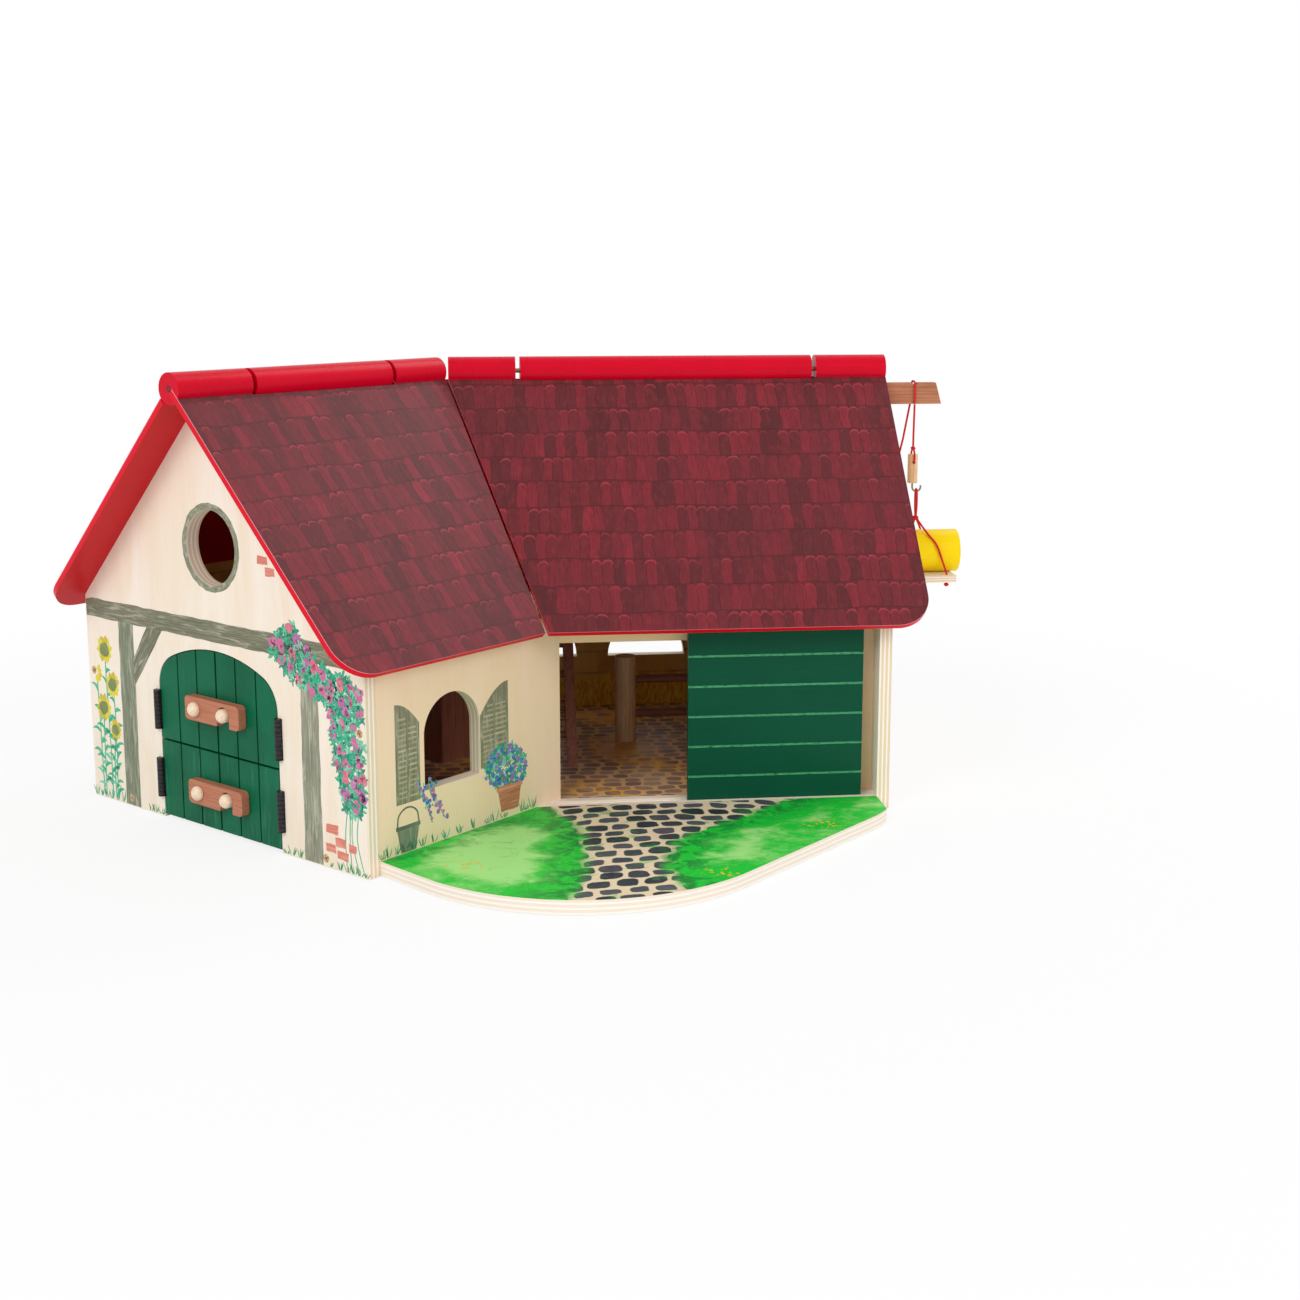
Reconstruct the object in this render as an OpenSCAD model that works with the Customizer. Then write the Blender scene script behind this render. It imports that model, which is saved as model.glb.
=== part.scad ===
// Toy barn with two wings that meet at an angle, opening stable doors, a sliding door,
// hinged roof panels and a small hoist. Millimetres, +Z up.
// The origin is the inner corner of the yard, at the height of the table.

/* [Wings] */
// Turn of the left wing about the inner yard corner, in degrees
wing_turn = 45; // [40:1:50]
// Width of each wing over its walls
wing_w = 264; // [250:1:280]
// Length of the left wing from the inner yard corner to the gable face
left_len = 141.4; // [138:0.2:160]
// Length of the right wing from the inner yard corner to its outer end
right_len = 226; // [224:1:250]
// Height of the ridge axis
ridge_z = 274; // [265:1:290]
// Pitch of the roof, in degrees
roof_pitch = 46; // [44:0.5:47]

/* [Boards] */
// Thickness of the yard, outer and back walls
wall_t = 8.5; // [7:0.5:10]
// Thickness of the gable board
gable_t = 9; // [8:0.5:10]
// Thickness of the end wall board
end_t = 8; // [7:0.5:10]
// Thickness of the base board
base_t = 8.5; // [8:0.5:12]
// Thickness of a roof panel
roof_t = 4; // [3:0.5:5]

/* [Roof] */
// Overhang of the roof past the gable
verge_left = 24.4; // [20:0.2:28]
// Overhang of the roof past the end wall
verge_right = 22.2; // [18:0.2:26]
// Overhang of the yard-side panels past the walls, measured level
eave = 14.6; // [12:0.2:18]
// Overhang of the outer panels past the walls, measured level
outer_eave = 8.7; // [7:0.1:12]
// Radius of the outer corners of the roof panels
roof_corner = 22; // [12:1:26]
// Gap between a roof panel and the line where the wings meet
mitre_gap = 1.6; // [1.2:0.1:3]
// Radius of the ridge rolls
roll_r = 9.5; // [9:0.25:11]
// Gap between neighbouring ridge rolls
roll_gap = 3; // [2:0.1:5]
// Length of the front ridge roll of the left wing
front_roll = 54; // [46:0.5:56]
// Length of the outer ridge roll of the right wing
outer_roll = 48.7; // [44:0.1:54]
// Length of the ridge rolls next to the place where the wings meet
inner_roll = 45; // [38:0.5:46]
// Diameter of the ridge pins
ridge_pin_d = 3; // [2.5:0.1:3.2]

/* [Stable doors] */
// Width of the arched doorway in the gable
door_w = 114; // [104:1:120]
// Height of the arched doorway
door_h = 115; // [114:1:120]
// Radius of the small arcs at the shoulders of the arch
shoulder_r = 22; // [14:1:22]
// Radius of the long arc over the doorway
crown_r = 108; // [100:1:140]
// Height of the gap between lower and upper leaves
split_z = 51.2; // [46:0.2:54]
// Thickness of a leaf
leaf_t = 8; // [7:0.5:8.5]
// Gap round a leaf
leaf_gap = 0.7; // [0.5:0.1:1]
// Length of a hinge
hinge_h = 25; // [20:1:28]
// Diameter of a hinge knuckle
knuckle_d = 4.8; // [4.2:0.1:5.4]
// Diameter of a hinge pin
hinge_pin_d = 1.6; // [1.2:0.1:2]
// Length of a latch bar
bar_len = 51.5; // [48:0.5:52]
// Width of a latch bar
bar_w = 15; // [14:0.5:17]
// Thickness of a latch bar
bar_t = 5.5; // [4.5:0.5:7]
// Distance from each latch peg to the gap between the leaves
peg_offset = 13.5; // [12:0.5:15]
// Diameter of the catch pegs
catch_d = 8.6; // [7.5:0.1:9]
// Diameter of the shanks of the pivot pegs
pivot_d = 6; // [5:0.1:6.5]
// Diameter of the heads of the pivot pegs
peg_head_d = 9; // [8.5:0.1:10]

/* [Windows] */
// Diameter of the round window in the gable
round_window_d = 46; // [40:1:52]
// Height of the middle of the round window
round_window_z = 178; // [172:1:184]
// Width of the arched yard window
yard_window_w = 46; // [40:1:50]
// Height of the sill of the yard window
yard_window_sill = 42; // [36:1:48]
// Height of the top of the yard window
yard_window_top = 97; // [90:1:104]
// Radius of the half-round windows in the back wall
back_window_r = 29.5; // [24:0.5:32]
// Height of their flat sills
back_window_sill = 47.5; // [42:0.5:54]
// Width of the loading hatch in the end wall
hatch_w = 56; // [48:1:64]
// Height of the loading hatch from the loft floor to the top of its arch
hatch_h = 68; // [60:1:74]

/* [Sliding door] */
// How far the front panel stands back from the front of the wing
recess = 16; // [15:0.5:20]
// Width of the sliding door
slide_w = 112; // [104:1:116]
// Thickness of the sliding door
slide_t = 6; // [5:0.5:7]
// How far the sliding door stands back from the front of the wing
slide_back = 4; // [3.5:0.5:6]
// Gap between the open sliding door and the end wall
slide_rest = 9.5; // [5:0.5:12]
// Height of the top of the sliding door
slide_top = 121; // [116:0.5:124]
// Depth of the groove in the base that guides the door
track_deep = 3; // [2:0.5:4]
// Height of the opening behind the sliding door
opening_h = 110; // [104:1:114]
// How far the open sliding door still covers that opening
door_lap = 6.5; // [4:0.5:9]

/* [Inside] */
// Height of the underside of the loft
loft_z = 104; // [100:1:112]
// Thickness of the loft board
loft_t = 6; // [5:0.5:8]
// Distance from the front of the wing to the edge of the loft
loft_edge = 150; // [140:1:160]
// Width of the ladder
ladder_w = 36; // [30:1:42]
// Number of rungs
rung_count = 5; // [4:1:6]
// Diameter of the stall post
post_d = 15; // [12:0.5:17]
// Height of the top of the stall post
post_top = 70; // [60:1:78]
// Diameter of the stall rails
rail_d = 6; // [5:0.5:7]

/* [Hoist] */
// Reach of the hoist beam past the end wall
beam_reach = 59; // [54:1:64]
// Height of the hoist beam
beam_h = 14.6; // [12:0.2:16]
// Thickness of the hoist beam
beam_t = 8; // [6:0.5:10]
// Diameter of the hoist cord
cord_d = 1.4; // [1.2:0.1:1.6]
// Diameter of the toggle
toggle_d = 7; // [6:0.5:8]
// Length of the toggle
toggle_h = 20; // [18:1:22]
// Length of the platform
platform_l = 50; // [44:1:54]
// Width of the platform
platform_w = 40; // [36:1:44]
// Thickness of the platform
platform_t = 5; // [4:0.5:6]
// Diameter of the bale
bale_d = 30; // [26:1:32]
// Length of the bale
bale_l = 58; // [50:1:60]

/* [Hidden] */
$fn = 48;

ply = "#f0e0c2";
leaf_green = "#0f6a45";
door_green = "#14523a";
latch_brown = "#b56a4c";
peg_cream = "#f5e6c8";
hinge_black = "#2b2b2d";
roof_maroon = "#7d2f38";
roll_red = "#d8002d";
cord_red = "#d2323c";
bale_yellow = "#f5c800";
steel = "#b9bcc2";

ridge_y = wing_w / 2;
mitre = tan(wing_turn / 2);
move_gap = 0.3;
pin_play = 0.05;
tall = 400;
gable_x = -left_len;
end_x = right_len - end_t;
floor_z = base_t;
slide_open_x = end_x - slide_rest - slide_w;
opening_x = slide_open_x + door_lap;

// Height of the top of a wall at a level distance from the ridge: the outer panels lie on the
// walls, the yard-side panels that open stay clear of them
function roof_under(away, gap = 0) =
    ridge_z - away * tan(roof_pitch) - (roof_t / 2 + gap) / cos(roof_pitch);
// Where the ends of a roof panel lie along its slope
yard_slope = (ridge_y + eave) / cos(roof_pitch);
outer_slope = (ridge_y + outer_eave) / cos(roof_pitch);
pin_clear = ridge_pin_d / 2 + 0.7;
roll_clear = roll_r + 0.7;

left_front = gable_x - verge_left;
left_inner = ridge_y * mitre - 5.3;
right_inner = -ridge_y * mitre + 4;
right_outer = right_len + verge_right;

// Along the left ridge: ends of the front, middle and inner rolls
left_rolls = [
    [left_front, left_front + front_roll],
    [left_front + front_roll + roll_gap, left_inner - inner_roll - roll_gap],
    [left_inner - inner_roll, left_inner]];
right_rolls = [
    [right_inner, right_inner + inner_roll],
    [right_inner + inner_roll + roll_gap, right_outer - outer_roll - roll_gap],
    [right_outer - outer_roll, right_outer]];
pin_grip = 15;

// The left wing is drawn along its own ridge and turned into place
module left_wing() {
    rotate([0, 0, wing_turn]) children();
}

// An outline in width and height, made into a board that faces along the wing
module cross_board(x, thick) {
    translate([x, 0, 0])
        rotate([90, 0, 90])
            linear_extrude(thick) children();
}

// A board whose outline lies along the wing and upwards, at a distance y, with thickness in y
module long_board(y, thick) {
    translate([0, y + thick, 0])
        rotate([90, 0, 0])
            linear_extrude(thick) children();
}

// A round bar along the wing
module bar_x(x_from, x_to, r) {
    translate([x_from, 0, 0])
        rotate([0, 90, 0])
            cylinder(r = r, h = x_to - x_from);
}

// Everything above one roof plane; side is 1 on the outer slope and -1 on the yard slope
module above_roof(side) {
    gap = side > 0 ? 0 : move_gap;
    translate([0, ridge_y, ridge_z - (roof_t / 2 + gap) / cos(roof_pitch)])
        rotate([-side * roof_pitch, 0, 0])
            translate([-tall, side > 0 ? -50 : -tall, 0])
                cube([2 * tall, tall + 50, tall]);
}

// Outline of a wall across the wing, under both roof slopes and clear of the ridge roll
module gable_outline() {
    difference() {
        polygon([[0, 0], [wing_w, 0], [wing_w, roof_under(ridge_y)],
            [ridge_y, roof_under(0)], [ridge_y, roof_under(0, move_gap)],
            [0, roof_under(ridge_y, move_gap)]]);
        translate([ridge_y, ridge_z]) circle(r = roll_r + 0.4);
    }
}

// Arch with a long crown arc and two shoulder arcs, drawn in by inset; the arcs cross by a hair
// where they meet, so that each ends at a clean corner
arc_cross = 0.03;
module arch_outline(inset = 0) {
    half = door_w / 2 - inset;
    crown = crown_r - inset;
    shoulder = shoulder_r - inset;
    shoulder_x = half - shoulder;
    crown_y = door_h - crown_r;
    rise = sqrt(pow(crown - shoulder + arc_cross, 2) - pow(shoulder_x, 2));
    lean = atan2(shoulder_x, rise);
    difference() {
        intersection() {
            translate([0, crown_y]) circle(r = crown, $fn = 96);
            translate([-half, -10]) square([2 * half, door_h + 10]);
        }
        for (s = [-1, 1])
            translate([s * shoulder_x, crown_y + rise])
                difference() {
                    polygon([[0, 0], [s * 60 * sin(lean), 60 * cos(lean)], [s * 60, 60], [s * 60, 0]]);
                    circle(r = shoulder);
                }
    }
}

// Round-topped opening from a sill to a top
module arched_window(w, sill, top) {
    translate([-w / 2, sill]) square([w, top - w / 2 - sill]);
    translate([0, top - w / 2]) circle(d = w);
}

// Yard and walls seen from above
corner_out = [-wing_w * mitre, wing_w];
function turned(x, y) = [x * cos(wing_turn) - y * sin(wing_turn), x * sin(wing_turn) + y * cos(wing_turn)];
yard_round_left = [27, -45];
yard_round_left_r = 123;
yard_round_right = [160, 6];
yard_round_right_r = 67;
yard_under = 20;
yard_corner_in = 0.5;
module yard_outline() {
    intersection() {
        hull() {
            translate(yard_round_left) circle(r = yard_round_left_r, $fn = 240);
            translate(yard_round_right) circle(r = yard_round_right_r, $fn = 120);
            square([end_x, yard_under]);
            polygon([[0, 0], [0, yard_under],
                turned(gable_x + gable_t + yard_corner_in, yard_corner_in)]);
        }
        translate([-tall, -tall]) square([tall + end_x, tall + yard_under]);
    }
}

track_y = slide_back;
module base_plate() {
    color(ply) difference() {
        union() {
            linear_extrude(base_t) yard_outline();
            linear_extrude(base_t)
                polygon([[0, 0], turned(gable_x + gable_t, 0), turned(gable_x + gable_t, wing_w),
                    corner_out, [end_x, wing_w], [end_x, 0]]);
        }
        translate([track_y + slide_t + 1, track_y - move_gap, base_t - track_deep])
            cube([end_x - track_y - slide_t - 1, slide_t + 2 * move_gap, track_deep + 1]);
        screw_holes(base_screws_left, gable_x, true);
        screw_holes(base_screws_right, right_len, false);
    }
}

// Countersunk screws through the gable and the end wall, as [across, height]
screw_d = 2.6;
screw_head_d = 5.2;
screw_head_h = 1.8;
screw_l = 20;
base_screws_left = [[wing_w - 40, base_t / 2 + 1], [36, base_t / 2 + 1]];
wall_screws_left = [[wing_w - wall_t / 2 - 1, 85], [wall_t / 2, 85]];
base_screws_right = [[36, base_t / 2 + 1], [wing_w - 40, base_t / 2 + 1]];
wall_screws_right = [[wing_w - wall_t / 2, 85]];

// One screw at the face x, pointing into the wing
module screw(left, extra = 0) {
    dir = left ? 90 : -90;
    rotate([0, dir, 0]) {
        translate([0, 0, -extra]) cylinder(d = screw_d, h = screw_l + extra);
        translate([0, 0, -extra]) cylinder(d = screw_head_d, h = extra + 0.3);
        translate([0, 0, 0.3]) cylinder(d1 = screw_head_d, d2 = screw_d, h = screw_head_h);
    }
}

module screws_at(places, x, left, extra = 0) {
    for (p = places)
        translate([x, p[0], p[1]]) screw(left, extra);
}

module screw_holes(places, x, left) {
    if (left) left_wing() screws_at(places, x, true, 1);
    else screws_at(places, x, false, 1);
}

module wall_screws() {
    color(steel) {
        left_wing() screws_at(concat(base_screws_left, wall_screws_left), gable_x, true);
        screws_at(concat(base_screws_right, wall_screws_right), right_len, false);
    }
}

module gable_wall() {
    color(ply) left_wing() difference() {
        cross_board(gable_x, gable_t) difference() {
            gable_outline();
            translate([ridge_y, 0]) arch_outline();
            translate([ridge_y, round_window_z]) circle(d = round_window_d);
        }
        for (side = [-1, 1], z = hinge_heights)
            hinge_place(side, z) {
                knuckle_room();
                jamb_strap();
            }
        screws_at(concat(base_screws_left, wall_screws_left), gable_x, true, 1);
    }
}

// The top of the yard wall follows both yard-side slopes where they meet in the valley
wall_end = recess / sin(wing_turn);
yard_window_x = -73;
module yard_wall() {
    color(ply) difference() {
        left_wing() long_board(0, wall_t) difference() {
            translate([gable_x + gable_t, floor_z])
                square([wall_end - gable_x - gable_t, ridge_z]);
            translate([yard_window_x, 0])
                arched_window(yard_window_w, yard_window_sill, yard_window_top);
        }
        intersection() {
            left_wing() above_roof(-1);
            above_roof(-1);
        }
        left_wing() screws_at([wall_screws_left[1]], gable_x, true, 1);
    }
}

module outer_wall() {
    color(ply) left_wing() difference() {
        linear_extrude(tall)
            polygon([[gable_x + gable_t, wing_w - wall_t], [gable_x + gable_t, wing_w],
                [wing_w * mitre, wing_w], [(wing_w - wall_t) * mitre, wing_w - wall_t]]);
        translate([-tall, 0, -1]) cube([2 * tall, 2 * tall, floor_z + 1]);
        above_roof(1);
        screws_at([wall_screws_left[0]], gable_x, true, 1);
    }
}

back_window_x = [13.5, 96.5];
module back_wall() {
    color(ply) difference() {
        linear_extrude(tall)
            polygon([[-wing_w * mitre, wing_w], [end_x, wing_w], [end_x, wing_w - wall_t],
                [-(wing_w - wall_t) * mitre, wing_w - wall_t]]);
        translate([-tall, 0, -1]) cube([2 * tall, 2 * tall, floor_z + 1]);
        above_roof(1);
        for (x = back_window_x)
            long_board(wing_w - wall_t - 1, wall_t + 2)
                translate([x, back_window_sill])
                    intersection() {
                        circle(r = back_window_r);
                        translate([-tall / 2, 0]) square([tall, tall]);
                    }
        screws_at(wall_screws_right, right_len, false, 1);
    }
}

hatch_z = loft_z + loft_t;
beam_z = ridge_z - roll_r - 0.5 - beam_h;
module end_wall() {
    color(ply) difference() {
        cross_board(end_x, end_t) difference() {
            gable_outline();
            translate([ridge_y, 0]) arched_window(hatch_w, hatch_z, hatch_z + hatch_h);
            translate([ridge_y - beam_t / 2, beam_z]) square([beam_t, beam_h]);
        }
        translate([end_x - 1, ridge_y + cleat_y, cleat_z]) bar_x(0, end_t + 2, cleat_d / 2);
        screws_at(concat(base_screws_right, wall_screws_right), right_len, false, 1);
    }
}

// Recessed front of the right wing, with its opening; its left end meets the end of the yard wall
module front_panel() {
    color(ply) difference() {
        long_board(recess, wall_t) difference() {
            translate([-20, floor_z]) square([end_x + 20, ridge_z]);
            translate([-20, 0]) square([20 + opening_x, opening_h]);
        }
        above_roof(-1);
        left_wing() translate([wall_end - tall, -tall, 0]) cube([tall, 2 * tall, tall]);
    }
}

// Grooved rail under the eaves that guides the top of the sliding door
rail_drop = 3;
rail_h = 11;
module door_rail() {
    color(ply) difference() {
        long_board(0, recess)
            translate([0, slide_top - rail_drop]) square([end_x, rail_h]);
        above_roof(-1);
        left_wing() translate([-tall, 0, 0]) cube([2 * tall, tall, tall]);
        translate([-1, track_y - move_gap, slide_top - rail_drop - 1])
            cube([end_x + 2, slide_t + 2 * move_gap, rail_drop + 1 + move_gap]);
    }
}

slide_groove_count = 5;
slide_groove_pitch = 19.5;
slide_groove_top = 101.8;
module sliding_door() {
    color(door_green) difference() {
        translate([slide_open_x, track_y, floor_z - track_deep + move_gap])
            cube([slide_w, slide_t, slide_top - floor_z + track_deep - move_gap]);
        for (i = [0 : slide_groove_count - 1])
            translate([slide_open_x - 1, track_y - 1, slide_groove_top - i * slide_groove_pitch - 0.8])
                cube([slide_w + 2, 1.7, 1.6]);
    }
}

hinge_heights = [26, 70];
hinge_out = 1.2;
hinge_front = 0.9;
strap_t = 1.1;
strap_l = leaf_t - 1;
knuckle_gap = 0.2;
knuckle_h = (hinge_h - 2 * knuckle_gap) / 3;

// The axis of a hinge; side is 1 at the outer jamb and -1 at the yard jamb, which mirrors it
module hinge_place(side, z) {
    translate([gable_x - hinge_front, ridge_y + side * (door_w / 2 + hinge_out), z - hinge_h / 2])
        mirror([0, side > 0 ? 0 : 1, 0]) children();
}

// Straps of a hinge, let into the jamb and into the edge of the leaf
module jamb_strap() {
    translate([0, -hinge_out, 0]) cube([strap_l + hinge_front, strap_t, hinge_h]);
}
module leaf_strap() {
    translate([0, -hinge_out - leaf_gap - strap_t, 0]) cube([strap_l + hinge_front, strap_t, hinge_h]);
}

// Room for the knuckles in the jamb and in the leaf
module knuckle_room() {
    translate([0, 0, -0.2]) cylinder(d = knuckle_d + 0.6, h = hinge_h + 0.4);
}

module knuckle(z, h, bore) {
    translate([0, 0, z]) difference() {
        cylinder(d = knuckle_d, h = h);
        translate([0, 0, -1]) cylinder(d = bore, h = h + 2);
    }
}

// The half on the wall has the two outer knuckles
module frame_hinge_half() {
    zs = [0, 2 * (knuckle_h + knuckle_gap)];
    for (z = zs) knuckle(z, knuckle_h, hinge_pin_d);
    difference() {
        jamb_strap();
        for (z = zs) translate([0, 0, z - 0.1]) cylinder(d = knuckle_d - 1, h = knuckle_h + 0.2);
        translate([0, 0, knuckle_h]) cylinder(d = knuckle_d + 0.5, h = knuckle_h + 2 * knuckle_gap);
    }
}

// The half on the leaf has the middle knuckle, joined to its strap by a web
module leaf_hinge_half() {
    z_mid = knuckle_h + knuckle_gap;
    bore = hinge_pin_d + 2 * pin_play;
    difference() {
        union() {
            difference() {
                leaf_strap();
                for (z = [-1, z_mid + knuckle_h])
                    translate([0, 0, z]) cylinder(d = knuckle_d + 0.5, h = knuckle_h + knuckle_gap + 1);
            }
            translate([0, 0, z_mid]) cylinder(d = knuckle_d, h = knuckle_h);
            translate([0, -hinge_out - leaf_gap, z_mid])
                cube([knuckle_d / 2 - 0.5, hinge_out + leaf_gap, knuckle_h]);
        }
        translate([0, 0, z_mid - 1]) cylinder(d = bore, h = knuckle_h + 2);
    }
}

module frame_hinge_halves() {
    color(hinge_black) left_wing()
        for (side = [-1, 1], z = hinge_heights)
            hinge_place(side, z) frame_hinge_half();
}
module hinge_half_upper_left() {
    color(hinge_black) left_wing() hinge_place(1, hinge_heights[1]) leaf_hinge_half();
}
module hinge_half_upper_right() {
    color(hinge_black) left_wing() hinge_place(-1, hinge_heights[1]) leaf_hinge_half();
}
module hinge_half_lower_left() {
    color(hinge_black) left_wing() hinge_place(1, hinge_heights[0]) leaf_hinge_half();
}
module hinge_half_lower_right() {
    color(hinge_black) left_wing() hinge_place(-1, hinge_heights[0]) leaf_hinge_half();
}
module hinge_pins() {
    color(steel) left_wing()
        for (side = [-1, 1], z = hinge_heights)
            hinge_place(side, z) cylinder(d = hinge_pin_d, h = hinge_h);
}

// One leaf: half of the arch, cut to its heights, with two plank grooves
leaf_foot = 2;
centre_gap = 1.6;
plank_groove = 1.2;
peg_heights = [25, 78];
peg_sink = 4.5;
module leaf(side, z_from, z_to, hinge_z, peg_z, hole_d) {
    half = door_w / 2 - leaf_gap;
    color(leaf_green) left_wing() difference() {
        cross_board(gable_x, leaf_t) intersection() {
            translate([ridge_y, 0]) arch_outline(leaf_gap);
            translate([ridge_y + (side > 0 ? centre_gap / 2 : -door_w), z_from])
                square([door_w - centre_gap / 2, z_to - z_from]);
        }
        for (k = [1, 2])
            translate([gable_x - 1, ridge_y + side * half * k / 3 - plank_groove / 2, 0])
                cube([1.9, plank_groove, door_h + 5]);
        hinge_place(side, hinge_z) {
            knuckle_room();
            leaf_strap();
        }
        translate([gable_x - 1, ridge_y + side * peg_offset, peg_z]) bar_x(0, peg_sink + 1, hole_d / 2);
    }
}
module leaf_upper_left() {
    leaf(1, split_z + leaf_gap, door_h, hinge_heights[1], peg_heights[1], pivot_d);
}
module leaf_upper_right() {
    leaf(-1, split_z + leaf_gap, door_h, hinge_heights[1], peg_heights[1], pivot_d);
}
module leaf_lower_left() {
    leaf(1, leaf_foot, split_z - leaf_gap, hinge_heights[0], peg_heights[0], pivot_d);
}
module leaf_lower_right() {
    leaf(-1, leaf_foot, split_z - leaf_gap, hinge_heights[0], peg_heights[0], pivot_d);
}

// Latch bar: pivots on the outer leaf and drops over the peg of the yard leaf
bar_gap = 0.5;
bar_tail = 10;
bar_corner = 3;
catch_play = 1;
module latch_bar(z) {
    reach = bar_len - bar_tail;
    color(latch_brown) left_wing()
        translate([gable_x - bar_gap - bar_t, ridge_y + peg_offset, z])
            rotate([90, 0, 90]) linear_extrude(bar_t) difference() {
                union() {
                    translate([-reach, -bar_w / 2 + bar_corner])
                        square([bar_len, bar_w - 2 * bar_corner]);
                    translate([-reach + bar_corner, -bar_w / 2])
                        square([bar_len - 2 * bar_corner, bar_w]);
                    for (x = [-reach + bar_corner, bar_tail - bar_corner], s = [-1, 1])
                        translate([x, s * (bar_w / 2 - bar_corner)]) circle(r = bar_corner);
                }
                circle(d = pivot_d + 2 * pin_play);
                translate([-2 * peg_offset, 0]) circle(d = catch_d + 2 * catch_play);
                translate([-2 * peg_offset, 0])
                    polygon([[-catch_d / 2 - catch_play, 0], [catch_d / 2 + catch_play, 0],
                        [catch_d / 2 + catch_play + 3, -bar_w], [-catch_d / 2 - catch_play, -bar_w]]);
            }
}
module latch_bar_upper() {
    latch_bar(peg_heights[1]);
}
module latch_bar_lower() {
    latch_bar(peg_heights[0]);
}

// Domed end of a peg: a slice of a sphere
module dome(d, h) {
    r = (d * d / 4 + h * h) / (2 * h);
    intersection() {
        translate([0, 0, h - r]) sphere(r = r);
        cylinder(d = d, h = h);
    }
}
module peg_at(side, z) {
    left_wing() translate([gable_x + peg_sink, ridge_y + side * peg_offset, z])
        rotate([0, -90, 0]) children();
}
module pivot_peg(z) {
    neck = peg_sink + bar_gap + bar_t + move_gap;
    color(peg_cream) peg_at(1, z) {
        cylinder(d = pivot_d, h = neck + 0.2);
        translate([0, 0, neck]) cylinder(d = peg_head_d, h = 1.5);
        translate([0, 0, neck + 1.5]) dome(peg_head_d, 3);
    }
}
module catch_peg(z) {
    color(peg_cream) peg_at(-1, z) {
        cylinder(d = pivot_d, h = peg_sink + 0.2);
        translate([0, 0, peg_sink]) cylinder(d = catch_d, h = bar_t + bar_gap + 1.5);
        translate([0, 0, peg_sink + bar_t + bar_gap + 1.5]) dome(catch_d, 3);
    }
}
module pivot_peg_upper() {
    pivot_peg(peg_heights[1]);
}
module pivot_peg_lower() {
    pivot_peg(peg_heights[0]);
}
module catch_peg_upper() {
    catch_peg(peg_heights[1]);
}
module catch_peg_lower() {
    catch_peg(peg_heights[0]);
}

// Stands a roof panel's outline, drawn along the ridge and down the slope, at its pitch
module slope(side) {
    translate([0, ridge_y, ridge_z])
        rotate([side > 0 ? -roof_pitch : 180 + roof_pitch, 0, 0])
            translate([0, 0, -roof_t / 2])
                linear_extrude(roof_t) children();
}

// Where the line between the wings cuts a panel, at a distance down the slope
function mitre_x(down, side) = mitre * (ridge_y + side * down * cos(roof_pitch)) - mitre_gap;

// Outline of a panel whose free end is at x_end; dir is 1 for the left wing, -1 for the right
module panel_outline(x_end, length, side, dir, corner) {
    low = dir * mitre_x(length, side);
    difference() {
        polygon([[x_end, pin_clear], [x_end, length], [low, length],
            [dir * mitre_x(pin_clear, side), pin_clear]]);
        translate([x_end + dir * corner, length - corner])
            difference() {
                translate([dir > 0 ? -corner - 1 : 0, 0]) square([corner + 1, corner + 1]);
                circle(r = corner);
            }
    }
}

module notch_for(rolls) {
    for (span = rolls)
        translate([span[0] - roll_gap, -1])
            square([span[1] - span[0] + 2 * roll_gap, roll_clear + 1]);
}

module roof_left_yard() {
    color(roof_maroon) left_wing() slope(-1) difference() {
        panel_outline(left_front, yard_slope, -1, 1, roof_corner);
        notch_for([left_rolls[1]]);
        translate([left_inner, -1]) square([40, roll_clear + 1]);
    }
}
module roof_left_outer() {
    color(roof_maroon) left_wing() slope(1) difference() {
        panel_outline(left_front, outer_slope, 1, 1, roof_corner);
        notch_for([left_rolls[0], left_rolls[2]]);
        translate([left_inner, -1]) square([80, roll_clear + 1]);
    }
}
module roof_right_yard() {
    color(roof_maroon) slope(-1) difference() {
        panel_outline(right_outer, yard_slope, -1, -1, roof_corner);
        notch_for([right_rolls[1]]);
        translate([right_inner - 60, -1]) square([60, roll_clear + 1]);
    }
}
module roof_right_back() {
    color(roof_maroon) slope(1) difference() {
        panel_outline(right_outer, outer_slope, 1, -1, roof_corner);
        notch_for([right_rolls[0], right_rolls[2]]);
        translate([right_inner - 80, -1]) square([80, roll_clear + 1]);
    }
}

// Ridge rolls with a slot for their panel and bores for the pins in the gaps
module ridge_roll(span, side, bore, ends) {
    difference() {
        translate([0, ridge_y, ridge_z]) bar_x(span[0], span[1], roll_r);
        slope(side) translate([span[0] - 1, pin_clear]) square([span[1] - span[0] + 2, roll_r + 2]);
        for (e = ends)
            translate([0, ridge_y, ridge_z])
                bar_x(e < 0 ? span[0] - 1 : span[1] - pin_grip, e < 0 ? span[0] + pin_grip : span[1] + 1,
                    bore / 2);
    }
}
moving_bore = ridge_pin_d + 2 * pin_play;
module left_end_rolls() {
    color(roll_red) left_wing() {
        ridge_roll(left_rolls[0], -1, moving_bore, [1]);
        ridge_roll(left_rolls[2], -1, moving_bore, [-1]);
    }
}
module left_middle_roll() {
    color(roll_red) left_wing() ridge_roll(left_rolls[1], 1, ridge_pin_d, [-1, 1]);
}
module right_end_rolls() {
    color(roll_red) {
        ridge_roll(right_rolls[0], -1, moving_bore, [1]);
        ridge_roll(right_rolls[2], -1, moving_bore, [-1]);
    }
}
module right_middle_roll() {
    color(roll_red) ridge_roll(right_rolls[1], 1, ridge_pin_d, [-1, 1]);
}
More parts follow.
